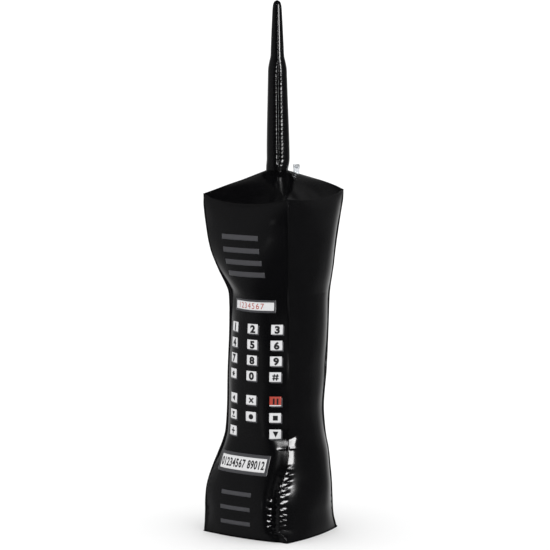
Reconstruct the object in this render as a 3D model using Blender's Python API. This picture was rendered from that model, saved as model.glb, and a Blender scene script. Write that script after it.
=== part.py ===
"""Inflatable mobile telephone in welded PVC film.

Metres, +Z up. The origin is the middle of the flat base, on the surface it
stands on. The face with the keys looks along -Y.
"""
import math

import bpy
from mathutils import Vector

# Film and welds
FILM = 0.0003            # thickness of the PVC film
GAP = 0.0003             # clearance between neighbouring pieces
INK = 0.0002             # thickness of a printed layer
FIN_WIDTH = 0.003        # width of a weld fin outside its seam
FLAT = 0.0001            # least bulge, so that a straight wall is a very shallow arc
WALL_FOOT = FILM + GAP + FILM / 2  # middle of a wall's film at its foot, just above the base panel

# Envelope
BODY_HEIGHT = 0.4870     # the four top corners
DOME_TOP = 0.5180        # film around the antenna
SAG_FRONT = 0.012        # how far the top seam dips between its corners
SAG_SIDE = 0.008
SAG_BACK = 0.010
SAG_START = 0.440        # height where the dip begins
DOME_POWER = 1.1         # 1 is a straight pyramid, more swells the top in from its seam
DOME_RINGS = 5
WALL_COLUMNS = 8

# Wall sections, bottom to top. Each row is height, half width, front corner y,
# back corner y, and how far the front, side and back walls bulge past them.
SECTIONS = (
    (0.000, 0.0710, -0.0630, 0.0630, 0.000, 0.000, 0.000),
    (0.031, 0.0695, -0.0625, 0.0575, 0.006, 0.010, 0.016),
    (0.061, 0.0675, -0.0610, 0.0565, 0.009, 0.012, 0.021),
    (0.098, 0.0615, -0.0490, 0.0560, 0.012, 0.013, 0.022),
    (0.127, 0.0560, -0.0380, 0.0575, 0.006, 0.007, 0.016),
    (0.153, 0.0525, -0.0305, 0.0570, 0.018, 0.014, 0.020),
    (0.245, 0.0505, -0.0285, 0.0635, 0.026, 0.017, 0.023),
    (0.325, 0.0500, -0.0270, 0.0700, 0.028, 0.014, 0.022),
    (0.343, 0.0510, -0.0280, 0.0700, 0.025, 0.010, 0.021),
    (0.388, 0.0600, -0.0460, 0.0690, 0.023, 0.016, 0.022),
    (0.439, 0.0690, -0.0610, 0.0690, 0.014, 0.015, 0.018),
    (0.487, 0.0725, -0.0650, 0.0765, 0.000, 0.000, 0.000),
)
WALL_ROWS = (
    0.020, 0.041, 0.061, 0.080, 0.098, 0.112, 0.127, 0.140, 0.153, 0.184, 0.215, 0.245,
    0.272, 0.299, 0.325, 0.334, 0.343, 0.357, 0.372, 0.388, 0.414, 0.439, 0.455, 0.471,
)

# Antenna: its ball-shaped root turns in a hole of the top panel.
ANTENNA_Y = 0.0160
PIVOT_RISE = 0.004       # pivot above the film around the hole
PIVOT_Z = DOME_TOP + PIVOT_RISE
ROOT_RADIUS = 0.0158
ROOT_ANGLES = (-38, -26, -13)
HOLE_RADIUS = 0.0163     # clears the ball when the antenna leans
SEAM_AZIMUTH = 42        # degrees from the front towards the right
ANTENNA_COLUMNS = 8
# Height above the pivot and radius of the inflated tube
ANTENNA_PROFILE = (
    (0.0000, 0.0158), (0.0270, 0.0156), (0.0600, 0.0148), (0.0940, 0.0138), (0.1350, 0.0128),
    (0.1440, 0.0124), (0.1530, 0.0108), (0.1620, 0.0095), (0.1870, 0.0083), (0.2120, 0.0072),
    (0.2280, 0.0062), (0.2338, 0.0042), (0.2361, 0.0008),
)
ANTENNA_FIN_START = 0.027
ROOT_RING_INNER = 0.0104
ROOT_RING_OUTER = 0.0129
ROOT_RING_DROP = 0.0132  # top of the ring below the pivot
ROOT_RING_THICKNESS = 0.0008

# Valve
VALVE_X = 0.0215
VALVE_Y = 0.0335
VALVE_FILM_Z = 0.5140    # film around the valve
VALVE_HOLE_RADIUS = 0.0052
FLANGE_RADIUS = 0.0090
FLANGE_THICKNESS = 0.0008
FLANGE_DROP = 0.0062     # top of the flange below the film
STEM_RADIUS = 0.0044
STEM_BORE = 0.0034
STEM_RISE = 0.0100       # top of the stem above the film
STEM_DEPTH = 0.0090      # bottom of the stem below the film
RIM_RADIUS = 0.0048
RIM_HEIGHT = 0.0014
CAP_RADIUS = 0.0048
CAP_THICKNESS = 0.0014
PLUG_TOP_RADIUS = 0.0028
PLUG_TIP_RADIUS = 0.0022
PLUG_LENGTH = 0.0036
STRAP_WIDTH = 0.0030
STRAP_THICKNESS = 0.0010
HINGE_OFFSET = 0.0066    # strap hinge from the valve's axis, towards the back
FLAP_RADIUS = 0.0042
FLAP_THICKNESS = 0.0005
TURNED_SIDES = 20
SHARP_ANGLE = 40         # edges sharper than this stay crisp

# Print. Places are measured across the front sheet from its middle, along the film.
KEY_WIDTH = 0.0166
KEY_HEIGHT = 0.0137
KEY_MIDDLE = 0.0040      # the keypad is printed a little to the right of the middle
KEY_PITCH_ACROSS = 0.0362
DIAL_PITCH_DOWN = 0.0224
FUNCTION_PITCH_DOWN = 0.0235
DIAL_TOP_ROW = 0.2979
FUNCTION_TOP_ROW = 0.1962
DIAL_KEYS = (
    ("1", "2", "3"),
    ("4", "5", "6"),
    ("7", "8", "9"),
    ("star", "0", "hash"),
)
FUNCTION_KEYS = (
    ("recall", "clear", "power"),
    ("store", "lock", "end"),
    ("program", None, "volume"),
)
DISPLAY_ACROSS = 0.0060
DISPLAY_Z = 0.3310
DISPLAY_SIZE = (0.0670, 0.0118)
DISPLAY_BORDER = 0.0030
PLATE_ACROSS = -0.0080
PLATE_Z = 0.1007
PLATE_SIZE = (0.0760, 0.0185)
PLATE_BORDER = 0.0045
HEAD_BAR_ACROSS = 0.0000
HEAD_BAR_SIZE = (0.0640, 0.0075)
HEAD_BAR_TOP = 0.4288
HEAD_BAR_PITCH = 0.0171
HEAD_BARS = 4
FOOT_BAR_ACROSS = -0.0150
FOOT_BAR_SIZE = (0.0515, 0.0060)
FOOT_BAR_TOP = 0.0630
FOOT_BAR_PITCH = 0.0216
FOOT_BARS = 3
PATCH_STEP = 0.0060      # widest column of a printed patch
NUDGE = 0.0005           # step used to find a surface normal


def clear_scene():
    for old in list(bpy.data.objects):
        bpy.data.objects.remove(old, do_unlink=True)


def material(name, colour, roughness, alpha=1.0):
    made = bpy.data.materials.new(name)
    made.use_nodes = True
    shader = made.node_tree.nodes["Principled BSDF"]
    shader.inputs["Base Color"].default_value = (*colour, 1.0)
    shader.inputs["Roughness"].default_value = roughness
    shader.inputs["Metallic"].default_value = 0.0
    shader.inputs["Alpha"].default_value = alpha
    return made


def new_object(name, points, faces, finish):
    mesh = bpy.data.meshes.new(name)
    mesh.from_pydata([tuple(point) for point in points], [], faces)
    mesh.update()
    mesh.materials.append(finish)
    mesh.shade_smooth()
    made = bpy.data.objects.new(name, mesh)
    bpy.context.scene.collection.objects.link(made)
    return made


def thicken(sheet, thickness):
    """Give an open sheet its thickness, half on each side."""
    solid = sheet.modifiers.new("film", "SOLIDIFY")
    solid.thickness = thickness
    solid.offset = 0.0
    solid.use_even_offset = True
    return sheet


def grid_faces(rows, columns, skip=()):
    faces = []
    for row in range(rows - 1):
        for column in range(columns - 1):
            if (row, column) in skip:
                continue
            first = row * columns + column
            faces.append((first, first + 1, first + 1 + columns, first + columns))
    return faces


def sheet_object(name, rows, thickness, finish, skip=()):
    """A sheet from rows of points: rows run upwards, points run to the right seen from outside."""
    points = [point for row in rows for point in row]
    faces = grid_faces(len(rows), len(rows[0]), skip)
    return thicken(new_object(name, points, faces, finish), thickness)


def axis_empty(name, place):
    """An empty on a vertical axis, which carries that axis's pieces."""
    made = bpy.data.objects.new(name, None)
    made.location = place
    bpy.context.scene.collection.objects.link(made)
    return made


def turned(name, profile, finish, parent):
    """A body turned about its parent's axis from a closed outline of radius and height."""
    points = []
    faces = []
    count = len(profile)
    for side in range(TURNED_SIDES):
        angle = 2 * math.pi * side / TURNED_SIDES
        for radius, height in profile:
            points.append((radius * math.cos(angle), radius * math.sin(angle), height))
    for side in range(TURNED_SIDES):
        here = side * count
        there = (side + 1) % TURNED_SIDES * count
        for index in range(count):
            after = (index + 1) % count
            faces.append((here + index, there + index, there + after, here + after))
    made = new_object(name, points, faces, finish)
    made.data.set_sharp_from_angle(angle=math.radians(SHARP_ANGLE))
    made.parent = parent
    return made


def turned_solid(name, profile, finish, parent):
    """A solid turned body: the outline runs from the axis at the bottom to the axis at the top."""
    points = [(0.0, 0.0, profile[0][1])]
    faces = []
    for radius, height in profile:
        for side in range(TURNED_SIDES):
            angle = 2 * math.pi * side / TURNED_SIDES
            points.append((radius * math.cos(angle), radius * math.sin(angle), height))
    points.append((0.0, 0.0, profile[-1][1]))
    top = len(points) - 1
    for side in range(TURNED_SIDES):
        after = (side + 1) % TURNED_SIDES
        faces.append((0, 1 + after, 1 + side))
        for ring in range(len(profile) - 1):
            low = 1 + ring * TURNED_SIDES
            high = low + TURNED_SIDES
            faces.append((low + side, low + after, high + after, high + side))
        last = 1 + (len(profile) - 1) * TURNED_SIDES
        faces.append((last + side, last + after, top))
    made = new_object(name, points, faces, finish)
    made.data.set_sharp_from_angle(angle=math.radians(SHARP_ANGLE))
    made.parent = parent
    return made


def smooth_value(rows, column, height):
    """Read one column of a table at a height, on a smooth curve through its rows."""
    last = len(rows) - 2
    index = 0
    while index < last and height > rows[index + 1][0]:
        index += 1
    z0, z1 = rows[index][0], rows[index + 1][0]
    v0, v1 = rows[index][column], rows[index + 1][column]
    before = rows[max(index - 1, 0)]
    after = rows[min(index + 2, len(rows) - 1)]
    slope0 = (v1 - before[column]) / (z1 - before[0])
    slope1 = (after[column] - v0) / (after[0] - z0)
    span = z1 - z0
    s = (height - z0) / span
    return (
        (2 * s ** 3 - 3 * s ** 2 + 1) * v0
        + (s ** 3 - 2 * s ** 2 + s) * span * slope0
        + (3 * s ** 2 - 2 * s ** 3) * v1
        + (s ** 3 - s ** 2) * span * slope1
    )


def wall_ends(wall, height):
    """The two corners of a wall's section, its bulge, and the dip of its top seam."""
    half, front, back, front_bulge, side_bulge, back_bulge = (
        smooth_value(SECTIONS, column, height) for column in range(1, 7)
    )
    corners = {
        "front": (Vector((-half, front)), Vector((half, front)), front_bulge, SAG_FRONT),
        "right": (Vector((half, front)), Vector((half, back)), side_bulge, SAG_SIDE),
        "back": (Vector((half, back)), Vector((-half, back)), back_bulge, SAG_BACK),
        "left": (Vector((-half, back)), Vector((-half, front)), side_bulge, SAG_SIDE),
    }
    return corners[wall]


def seam_line(corner, inward):
    """Outward direction of the weld fin at a corner, and the side step of one film."""
    fin = Vector((math.copysign(1, corner.x), math.copysign(1, corner.y))).normalized()
    step = (inward - inward.dot(fin) * fin).normalized() * (FILM + GAP) / 2
    return fin, step


class Arc:
    """A wall's film at one height: a circular arc between its two seams, with the fins' directions."""

    def __init__(self, wall, height):
        start, end, bulge, self.sag = wall_ends(wall, height)
        self.along = (end - start).normalized()
        self.first_fin, first_step = seam_line(start, self.along)
        self.last_fin, last_step = seam_line(end, -self.along)
        start = start + first_step
        end = end + last_step
        half = (end - start).length / 2
        self.middle = (start + end) / 2
        self.bulge = max(bulge, FLAT)
        self.radius = (half * half + self.bulge * self.bulge) / (2 * self.bulge)
        self.angle = 2 * math.atan2(self.bulge, half)


def dip(height, sag, across):
    share = max(0.0, (height - SAG_START) / (BODY_HEIGHT - SAG_START))
    return sag * share * share * (1 - across * across)


def arc_point(wall, across, height):
    """A point of a wall's film: across runs from -1 to 1 between the wall's seams."""
    arc = Arc(wall, height)
    outward = Vector((arc.along.y, -arc.along.x))
    turn = arc.angle * across
    place = arc.middle + arc.along * arc.radius * math.sin(turn)
    place = place + outward * (arc.radius * math.cos(turn) - arc.radius + arc.bulge)
    return Vector((place.x, place.y, height - dip(height, arc.sag, across)))


def faceted_point(wall, across, height):
    """The same, on the straight runs between the wall's rows of points."""
    rows = (WALL_FOOT,) + WALL_ROWS + (BODY_HEIGHT,)
    index = 0
    while index < len(rows) - 2 and height > rows[index + 1]:
        index += 1
    share = (height - rows[index]) / (rows[index + 1] - rows[index])
    low = arc_point(wall, across, rows[index])
    high = arc_point(wall, across, rows[index + 1])
    return low.lerp(high, share)


def wall_row(wall, height):
    arc = Arc(wall, height)
    columns = [2 * index / WALL_COLUMNS - 1 for index in range(WALL_COLUMNS + 1)]
    row = [arc_point(wall, across, height) for across in columns]
    first_edge = row[0] + (arc.first_fin * FIN_WIDTH).to_3d()
    last_edge = row[-1] + (arc.last_fin * FIN_WIDTH).to_3d()
    return [first_edge] + row + [last_edge]


def wall_panel(wall, name, finish):
    heights = (WALL_FOOT,) + WALL_ROWS + (BODY_HEIGHT,)
    rows = [wall_row(wall, height) for height in heights]
    return sheet_object(name, rows, FILM, finish)


def outline(height):
    """Seam line all round at a height, with the outward direction at each point."""
    ring = []
    for wall in ("front", "right", "back", "left"):
        start, end, _, _ = wall_ends(wall, height)
        along = (end - start).normalized()
        outward = Vector((along.y, -along.x))
        for index in range(WALL_COLUMNS):
            across = 2 * index / WALL_COLUMNS - 1
            point = arc_point(wall, across, height)
            if index == 0:
                corner = Vector((math.copysign(1, start.x), math.copysign(1, start.y)))
                point = Vector((start.x, start.y, point.z))
                ring.append((point, corner))
            else:
                ring.append((point, outward))
    return ring


def base_panel(finish):
    """A flat sheet that reaches under the walls, out to the edge of the weld."""
    points = []
    for point, outward in outline(0.0):
        edge = Vector((point.x, point.y)) + outward * FIN_WIDTH
        points.append((edge.x, edge.y, FILM / 2))
    made = new_object("base_panel", points, [tuple(range(len(points)))], finish)
    return thicken(made, FILM)


def top_panel(finish, valve_axis):
    """The domed top, from its weld rim to the antenna's hole, with a hole for the valve."""
    lift = FILM + GAP
    rows = []
    rim = []
    seam = []
    for point, outward in outline(BODY_HEIGHT):
        seam.append(Vector((point.x, point.y, point.z + lift)))
        edge = Vector((point.x, point.y)) + outward * FIN_WIDTH
        rim.append(Vector((edge.x, edge.y, point.z + lift)))
    rows.append(rim)
    rows.append(seam)
    for ring in range(1, DOME_RINGS + 1):
        share = ring / DOME_RINGS
        rise = 1 - (1 - share) ** DOME_POWER
        row = []
        for point in seam:
            offset = Vector((point.x, point.y - ANTENNA_Y))
            hole = offset.normalized() * HOLE_RADIUS
            flat = offset.lerp(hole, share)
            height = point.z + (DOME_TOP - point.z) * rise
            row.append(Vector((flat.x, flat.y + ANTENNA_Y, height)))
        rows.append(row)
    points = [point for row in rows for point in row]
    count = len(seam)
    faces = []
    for row in range(len(rows) - 1):
        for column in range(count):
            after = (column + 1) % count
            low = row * count
            high = low + count
            faces.append((low + column, low + after, high + after, high + column))
    made = thicken(new_object("top_panel", points, faces, finish), FILM)
    hole = made.modifiers.new("valve_hole", "BOOLEAN")
    hole.operation = "DIFFERENCE"
    hole.object = valve_cutter(finish, valve_axis)
    return made


def valve_cutter(finish, valve_axis):
    profile = ((VALVE_HOLE_RADIUS, -STEM_RISE), (VALVE_HOLE_RADIUS, STEM_RISE))
    cutter = turned_solid("valve_cutter", profile, finish, valve_axis)
    cutter.hide_render = True
    cutter.display_type = "WIRE"
    return cutter


def antenna_stations():
    """Radius, height and outward direction of the antenna's film, from its open end to its tip."""
    places = []
    for degrees in ROOT_ANGLES:
        angle = math.radians(degrees)
        places.append((ROOT_RADIUS * math.cos(angle), ROOT_RADIUS * math.sin(angle)))
    for height, radius in ANTENNA_PROFILE:
        places.append((radius, height))
    stations = []
    for index, (radius, height) in enumerate(places):
        before = places[max(index - 1, 0)]
        after = places[min(index + 1, len(places) - 1)]
        tangent = Vector((after[0] - before[0], after[1] - before[1])).normalized()
        stations.append((radius, height, Vector((tangent.y, -tangent.x))))
    return stations


def around(angle, radius, height):
    return Vector((radius * math.cos(angle), radius * math.sin(angle), height))


def antenna_sheet(name, azimuth, pivot, finish):
    """One half of the antenna's tube, with its weld fins, about the antenna's own axis."""
    first = math.radians(azimuth - 90)
    last = math.radians(azimuth + 90)
    side = around(math.radians(azimuth), (FILM + GAP) / 2, 0.0)
    rows = []
    for radius, height, normal in antenna_stations():
        fin = FIN_WIDTH if height > ANTENNA_FIN_START else FILM
        row = []
        for index in range(ANTENNA_COLUMNS + 1):
            angle = first + (last - first) * index / ANTENNA_COLUMNS
            row.append(around(angle, radius, height) + side)
        first_edge = row[0] + around(first, normal.x * fin, normal.y * fin)
        last_edge = row[-1] + around(last, normal.x * fin, normal.y * fin)
        rows.append([first_edge] + row + [last_edge])
    made = sheet_object(name, rows, FILM, finish)
    made.parent = pivot
    return made


def antenna(finish):
    pivot = axis_empty("antenna_pivot", (0.0, ANTENNA_Y, PIVOT_Z))
    seam = SEAM_AZIMUTH - 90
    antenna_sheet("antenna_back_sheet", seam + 90, pivot, finish)
    antenna_sheet("antenna_front_sheet", seam - 90, pivot, finish)
    top = -ROOT_RING_DROP
    bottom = top - ROOT_RING_THICKNESS
    profile = (
        (ROOT_RING_INNER, bottom), (ROOT_RING_OUTER, bottom),
        (ROOT_RING_OUTER, top), (ROOT_RING_INNER, top),
    )
    turned("antenna_root_ring", profile, finish, pivot)


def valve(clear, axis):
    flange_top = -FLANGE_DROP
    flange_bottom = flange_top - FLANGE_THICKNESS
    turned("valve_flange", (
        (VALVE_HOLE_RADIUS, flange_bottom), (FLANGE_RADIUS, flange_bottom),
        (FLANGE_RADIUS, flange_top), (VALVE_HOLE_RADIUS, flange_top),
    ), clear, axis)
    rim_bottom = STEM_RISE - RIM_HEIGHT
    turned("valve_stem", (
        (STEM_BORE, -STEM_DEPTH), (STEM_RADIUS, -STEM_DEPTH), (STEM_RADIUS, rim_bottom),
        (RIM_RADIUS, rim_bottom), (RIM_RADIUS, STEM_RISE), (STEM_BORE, STEM_RISE),
    ), clear, axis)
    cap_bottom = STEM_RISE + GAP
    cap_top = cap_bottom + CAP_THICKNESS
    turned_solid("valve_plug", (
        (PLUG_TIP_RADIUS, cap_bottom - PLUG_LENGTH), (PLUG_TOP_RADIUS, cap_bottom),
        (CAP_RADIUS, cap_bottom), (CAP_RADIUS, cap_top - CAP_THICKNESS / 3),
        (CAP_RADIUS - CAP_THICKNESS / 3, cap_top),
    ), clear, axis)
    flap_top = -STEM_DEPTH - GAP
    turned_solid("valve_check_flap", (
        (FLAP_RADIUS, flap_top - FLAP_THICKNESS), (FLAP_RADIUS, flap_top),
    ), clear, axis)
    valve_strap(clear, axis)


def valve_strap(clear, axis):
    """A tongue from the stem's rim to the hinge line of the cap."""
    inner = RIM_RADIUS + GAP
    outer = HINGE_OFFSET
    top = STEM_RISE
    bottom = top - STRAP_THICKNESS
    half = STRAP_WIDTH / 2
    points = []
    for height in (bottom, top):
        for x, y in ((-half, inner), (half, inner), (half, outer), (-half, outer)):
            points.append((x, y, height))
    faces = [(3, 2, 1, 0), (4, 5, 6, 7)]
    for index in range(4):
        after = (index + 1) % 4
        faces.append((index, after, after + 4, index + 4))
    made = new_object("valve_strap", points, faces, clear)
    made.parent = axis


def film_length(height):
    """Half the width of the front film at a height, measured along it."""
    arc = Arc("front", height)
    return arc.radius * arc.angle


def print_point(across, height):
    """A point on the outside of the front film, clear of it by the usual gap."""
    half = film_length(height)
    share = across / half
    nudge = NUDGE / half
    here = faceted_point("front", share, height)
    along = arc_point("front", share + nudge, height) - arc_point("front", share - nudge, height)
    up = arc_point("front", share, height + NUDGE) - arc_point("front", share, height - NUDGE)
    normal = along.cross(up).normalized()
    return here + normal * (FILM / 2 + GAP + INK / 2)


def levels(low, high):
    """Heights of a patch's rows: its edges and the wall's rows between them."""
    between = [height for height in WALL_ROWS if low + NUDGE < height < high - NUDGE]
    return [low] + between + [high]


def columns_between(low, high):
    count = max(1, math.ceil((high - low) / PATCH_STEP))
    return [low + (high - low) * index / count for index in range(count + 1)]


def patch(name, across, height, size, finish):
    """A printed rectangle on the front film."""
    low = height - size[1] / 2
    high = height + size[1] / 2
    columns = columns_between(across - size[0] / 2, across + size[0] / 2)
    rows = [[print_point(column, level) for column in columns] for level in levels(low, high)]
    return sheet_object(name, rows, INK, finish)


def frame(name, across, height, inner, border, finish):
    """A printed border round a rectangle, clear of the rectangle's own ink."""
    half = inner[0] / 2 + GAP
    rise = inner[1] / 2 + GAP
    left = across - half
    right = across + half
    columns = [left - border] + columns_between(left, right) + [right + border]
    low = height - rise
    high = height + rise
    heights = [low - border] + levels(low, high) + [high + border]
    skip = [
        (row, column)
        for row in range(1, len(heights) - 2)
        for column in range(1, len(columns) - 2)
    ]
    rows = [[print_point(column, level) for column in columns] for level in heights]
    return sheet_object(name, rows, INK, finish, skip)


def keypad(top_row, pitch, names, white, red):
    for row, line in enumerate(names):
        for column, name in enumerate(line):
            if name is None:
                continue
            across = KEY_MIDDLE + (column - 1) * KEY_PITCH_ACROSS
            height = top_row - row * pitch
            finish = red if name == "power" else white
            patch("key_" + name, across, height, (KEY_WIDTH, KEY_HEIGHT), finish)


def bars(name, count, across, top, pitch, size, finish):
    for index in range(count):
        patch(f"{name}_{index + 1}", across, top - index * pitch, size, finish)


def printing(white, grey, red):
    keypad(DIAL_TOP_ROW, DIAL_PITCH_DOWN, DIAL_KEYS, white, red)
    keypad(FUNCTION_TOP_ROW, FUNCTION_PITCH_DOWN, FUNCTION_KEYS, white, red)
    patch("display_window", DISPLAY_ACROSS, DISPLAY_Z, DISPLAY_SIZE, white)
    frame("display_border", DISPLAY_ACROSS, DISPLAY_Z, DISPLAY_SIZE, DISPLAY_BORDER, grey)
    patch("name_plate", PLATE_ACROSS, PLATE_Z, PLATE_SIZE, white)
    frame("name_plate_border", PLATE_ACROSS, PLATE_Z, PLATE_SIZE, PLATE_BORDER, grey)
    bars("head_bar", HEAD_BARS, HEAD_BAR_ACROSS, HEAD_BAR_TOP, HEAD_BAR_PITCH, HEAD_BAR_SIZE, grey)
    bars("foot_bar", FOOT_BARS, FOOT_BAR_ACROSS, FOOT_BAR_TOP, FOOT_BAR_PITCH, FOOT_BAR_SIZE, grey)


def main():
    clear_scene()
    film = material("black_film", (0.010, 0.010, 0.011), 0.12)
    clear = material("clear_vinyl", (0.80, 0.82, 0.84), 0.15, 0.5)
    white = material("white_ink", (0.78, 0.78, 0.77), 0.30)
    grey = material("grey_ink", (0.075, 0.075, 0.082), 0.30)
    red = material("red_ink", (0.50, 0.045, 0.030), 0.30)
    for wall, name in (
        ("front", "front_panel"), ("right", "right_side_panel"),
        ("back", "back_panel"), ("left", "left_side_panel"),
    ):
        wall_panel(wall, name, film)
    valve_axis = axis_empty("valve_axis", (VALVE_X, VALVE_Y, VALVE_FILM_Z))
    base_panel(film)
    top_panel(film, valve_axis)
    antenna(film)
    valve(clear, valve_axis)
    printing(white, grey, red)


main()
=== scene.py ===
"""Visual build of the inflatable mobile telephone, in the frame of its CAD model.

Metres, +Z up, the face with the keys towards -Y. The envelope is cut from flat
panels and blown up with a cloth simulation. The antenna, the valve and the
prints are made on top of it in mesh code.
"""
import math
import random

import bmesh
import bpy
import numpy as np
from mathutils import Matrix, Vector


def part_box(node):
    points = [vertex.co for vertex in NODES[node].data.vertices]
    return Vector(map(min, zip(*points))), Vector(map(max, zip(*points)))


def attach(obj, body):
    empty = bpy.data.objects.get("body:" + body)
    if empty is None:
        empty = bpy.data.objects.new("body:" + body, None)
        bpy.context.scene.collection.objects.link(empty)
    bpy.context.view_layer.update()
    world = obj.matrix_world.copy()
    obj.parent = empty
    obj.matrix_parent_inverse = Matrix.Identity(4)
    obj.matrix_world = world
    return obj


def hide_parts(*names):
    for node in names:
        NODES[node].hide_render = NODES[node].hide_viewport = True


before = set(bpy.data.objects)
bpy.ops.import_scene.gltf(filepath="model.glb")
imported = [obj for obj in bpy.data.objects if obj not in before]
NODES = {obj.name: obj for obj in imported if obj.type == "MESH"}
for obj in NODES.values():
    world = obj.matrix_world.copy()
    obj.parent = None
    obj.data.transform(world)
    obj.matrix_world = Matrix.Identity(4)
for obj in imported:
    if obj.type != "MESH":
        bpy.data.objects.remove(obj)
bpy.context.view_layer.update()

# The walls in their order round the bag, and the sines of the noise that makes things uneven
WALLS = ("front", "right", "back", "left")
WOBBLE_WAVES = 4
WOBBLE_PITCH = (0.6, 1.7)

# Film and welds
FILM = 0.00028           # thickness of the PVC film
SIDE_STEP = 0.0003       # each film stands this far to its own side of a weld
FIN_WIDTH = 0.0016       # width of a weld fin outside its seam
FIN_CORNER = 0.0003      # its width at a top corner, and how far from the corner it is full
FIN_FADE = 0.018
FIN_WAVE = 0.22          # how far a fin waves from side to side, as a slope, and its pitch
FIN_PITCH = 0.004
FIN_CALM = 12            # passes that smooth the direction of a fin
SEAM_CLEAR = 0.003       # gathers and creases reach their full size this far from a seam

# Envelope pattern, bottom to top: height, half width, front y, back y
PATTERN = (
    (0.0000, 0.0708, -0.0631, 0.0631),
    (0.0307, 0.0694, -0.0607, 0.0660),
    (0.0664, 0.0691, -0.0599, 0.0651),
    (0.1022, 0.0655, -0.0518, 0.0660),
    (0.1329, 0.0627, -0.0416, 0.0672),
    (0.1686, 0.0625, -0.0366, 0.0630),
    (0.2453, 0.0590, -0.0326, 0.0646),
    (0.3117, 0.0565, -0.0282, 0.0741),
    (0.3475, 0.0567, -0.0282, 0.0772),
    (0.3884, 0.0639, -0.0422, 0.0766),
    (0.4344, 0.0709, -0.0545, 0.0768),
    (0.4701, 0.0729, -0.0586, 0.0828),
    (0.5030, 0.0737, -0.0601, 0.0868),
)
PATTERN_HEIGHT = PATTERN[-1][0]
SAG_FRONT = 0.008        # how much lower the top seam is cut between its corners
SAG_SIDE = 0.004
SAG_BACK = 0.006
SAG_SHARE = 0.1          # the share of the height over which the dip fades in

# Roof
ROOF_RISE = 0.024        # the top panel is cut as a low pyramid
ROOF_RINGS = 14          # rings of cells from its seam to the antenna's hole
# Lifts of the roof half way up: direction in degrees from the front to the right, and height
ROOF_LIFTS = ((140.0, 0.0026), (-42.0, 0.0004))
ROOF_LIFT_SPREAD = 40.0
# How much the roof is filled out just inside its corners, by direction
ROOF_CORNERS = ((-134.0, 0.0020), (-44.0, 0.0034), (44.0, 0.0030), (134.0, 0.0006))
CORNER_SPREAD = 16.0
CORNER_SHARE = 0.13
ROOF_LIFT_POWER = 0.8    # below 1, the lifts are highest nearer to the seam
ROOF_RIM_POWER = 6       # how fast the seam's own shift fades inwards
ROOF_HOLE_POWER = 2      # how fast the roof turns towards the antenna's hole
ROOF_CALM = 70           # passes that round the roof's ridges, most next to the antenna
ROOF_CALM_SHARE = 0.3    # the share of the way up over which they become full
# The ridge to the front right corner is a flat wedge, widest at the antenna: its slope, how
# soft its edges are, where it starts, and the share of the way to the antenna where it ends
WEDGE_SLOPE = 0.309
WEDGE_SOFT = 0.0004
WEDGE_START = 0.012
WEDGE_END = (0.90, 1.0)

# Cloth, and the finer mesh laid through it
CELLS = ((36, 34, 123))
FINE = 3           # points to a cell of the blown-up cloth
FOOT_FINE = 5      # the same, up and down next to the foot
FOOT_TOP = 0.125
EDGE_CROWDING = 0.6      # how much closer the points stand next to a seam
CLOTH_FRAMES = 30
CLOTH_QUALITY = 6
CLOTH_MASS = 0.05        # for cells of the height of CLOTH_CELL
CLOTH_CELL = 0.0045
CLOTH = {
    "tension_stiffness": 60, "compression_stiffness": 60, "shear_stiffness": 30,
    "bending_stiffness": 0.08, "tension_damping": 5, "compression_damping": 5,
    "shear_damping": 5, "bending_damping": 0.5, "air_damping": 1,
}
PRESSURE = 12.0
SEAM_SHRINK = 0.003

# Walls, as they are brought to shape after the cloth
# Where the four upright seams run once the bag is full: height, half width, front, back
SEAM_LINES = (
    (0.000, 0.0710, -0.0640, 0.0635),
    (0.020, 0.0700, -0.0630, 0.0565),
    (0.050, 0.0700, -0.0620, 0.0530),
    (0.070, 0.0690, -0.0590, 0.0530),
    (0.090, 0.0655, -0.0530, 0.0550),
    (0.115, 0.0600, -0.0430, 0.0585),
    (0.130, 0.0565, -0.0375, 0.0585),
    (0.145, 0.0545, -0.0335, 0.0575),
    (0.180, 0.0530, -0.0315, 0.0560),
    (0.230, 0.0525, -0.0305, 0.0640),
    (0.290, 0.0510, -0.0285, 0.0710),
    (0.335, 0.0510, -0.0285, 0.0735),
    (0.350, 0.0520, -0.0310, 0.0745),
    (0.380, 0.0600, -0.0435, 0.0700),
    (0.410, 0.0665, -0.0535, 0.0660),
    (0.450, 0.0700, -0.0600, 0.0710),
    (0.488, 0.0720, -0.0635, 0.0790),
)
CALM_ALONG = 36          # passes that smooth the walls up and down, and across
CALM_ACROSS = 30
# The front right seam is drawn in at the foot: heights it starts, is full, stays full and ends
DRAWN_SEAM = (0.002, 0.018, 0.062, 0.120)
DRAWN_BY = (0.0110, 0.0034)      # to the left as seen when facing the corner, and inwards
DRAWN_FRONT = 0.014      # how far the pull reaches into the front film, and into the right one
DRAWN_RIGHT = 0.022
# The side walls bulge less at the lower end of the waist
FLATTER_AT = 0.165
FLATTER_REACH = 0.032
FLATTER_BY = 0.40
TOP_FULLER = 0.0075      # how far the middle of the top seam is filled out again
TOP_LOWER = 0.0022       # how much lower the top corners lie than in the cloth
TOP_SPAN = (0.430, PATTERN_HEIGHT * 0.97)
BASE_BOW = 0.0070        # how far the base seam bows out between its corners
BASE_BOW_TOP = 0.035
BASE_RINGS = 10
# Shallow creases that run out from the front right seam: walls, height, depth, reach, slope
CREASES = (
    (("front", "right"), 0.1290, 0.0009, 0.020, 0.0),
    (("front",), 0.3440, 0.0006, 0.016, 0.0),
    (("right",), 0.3440, 0.0006, 0.110, 0.0),
    (("front",), 0.0030, 0.0016, 0.032, 0.42),
)
CREASE_WIDTH = 0.0015
CREASE_CLEAR = 0.0005    # a crease starts this far from the seam
CREASE_STRAY = 0.0006    # how far it strays up and down, and over what distance
CREASE_PITCH = 0.004
CREASE_EVEN = 0.4        # the share of its reach over which it keeps its depth
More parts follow.
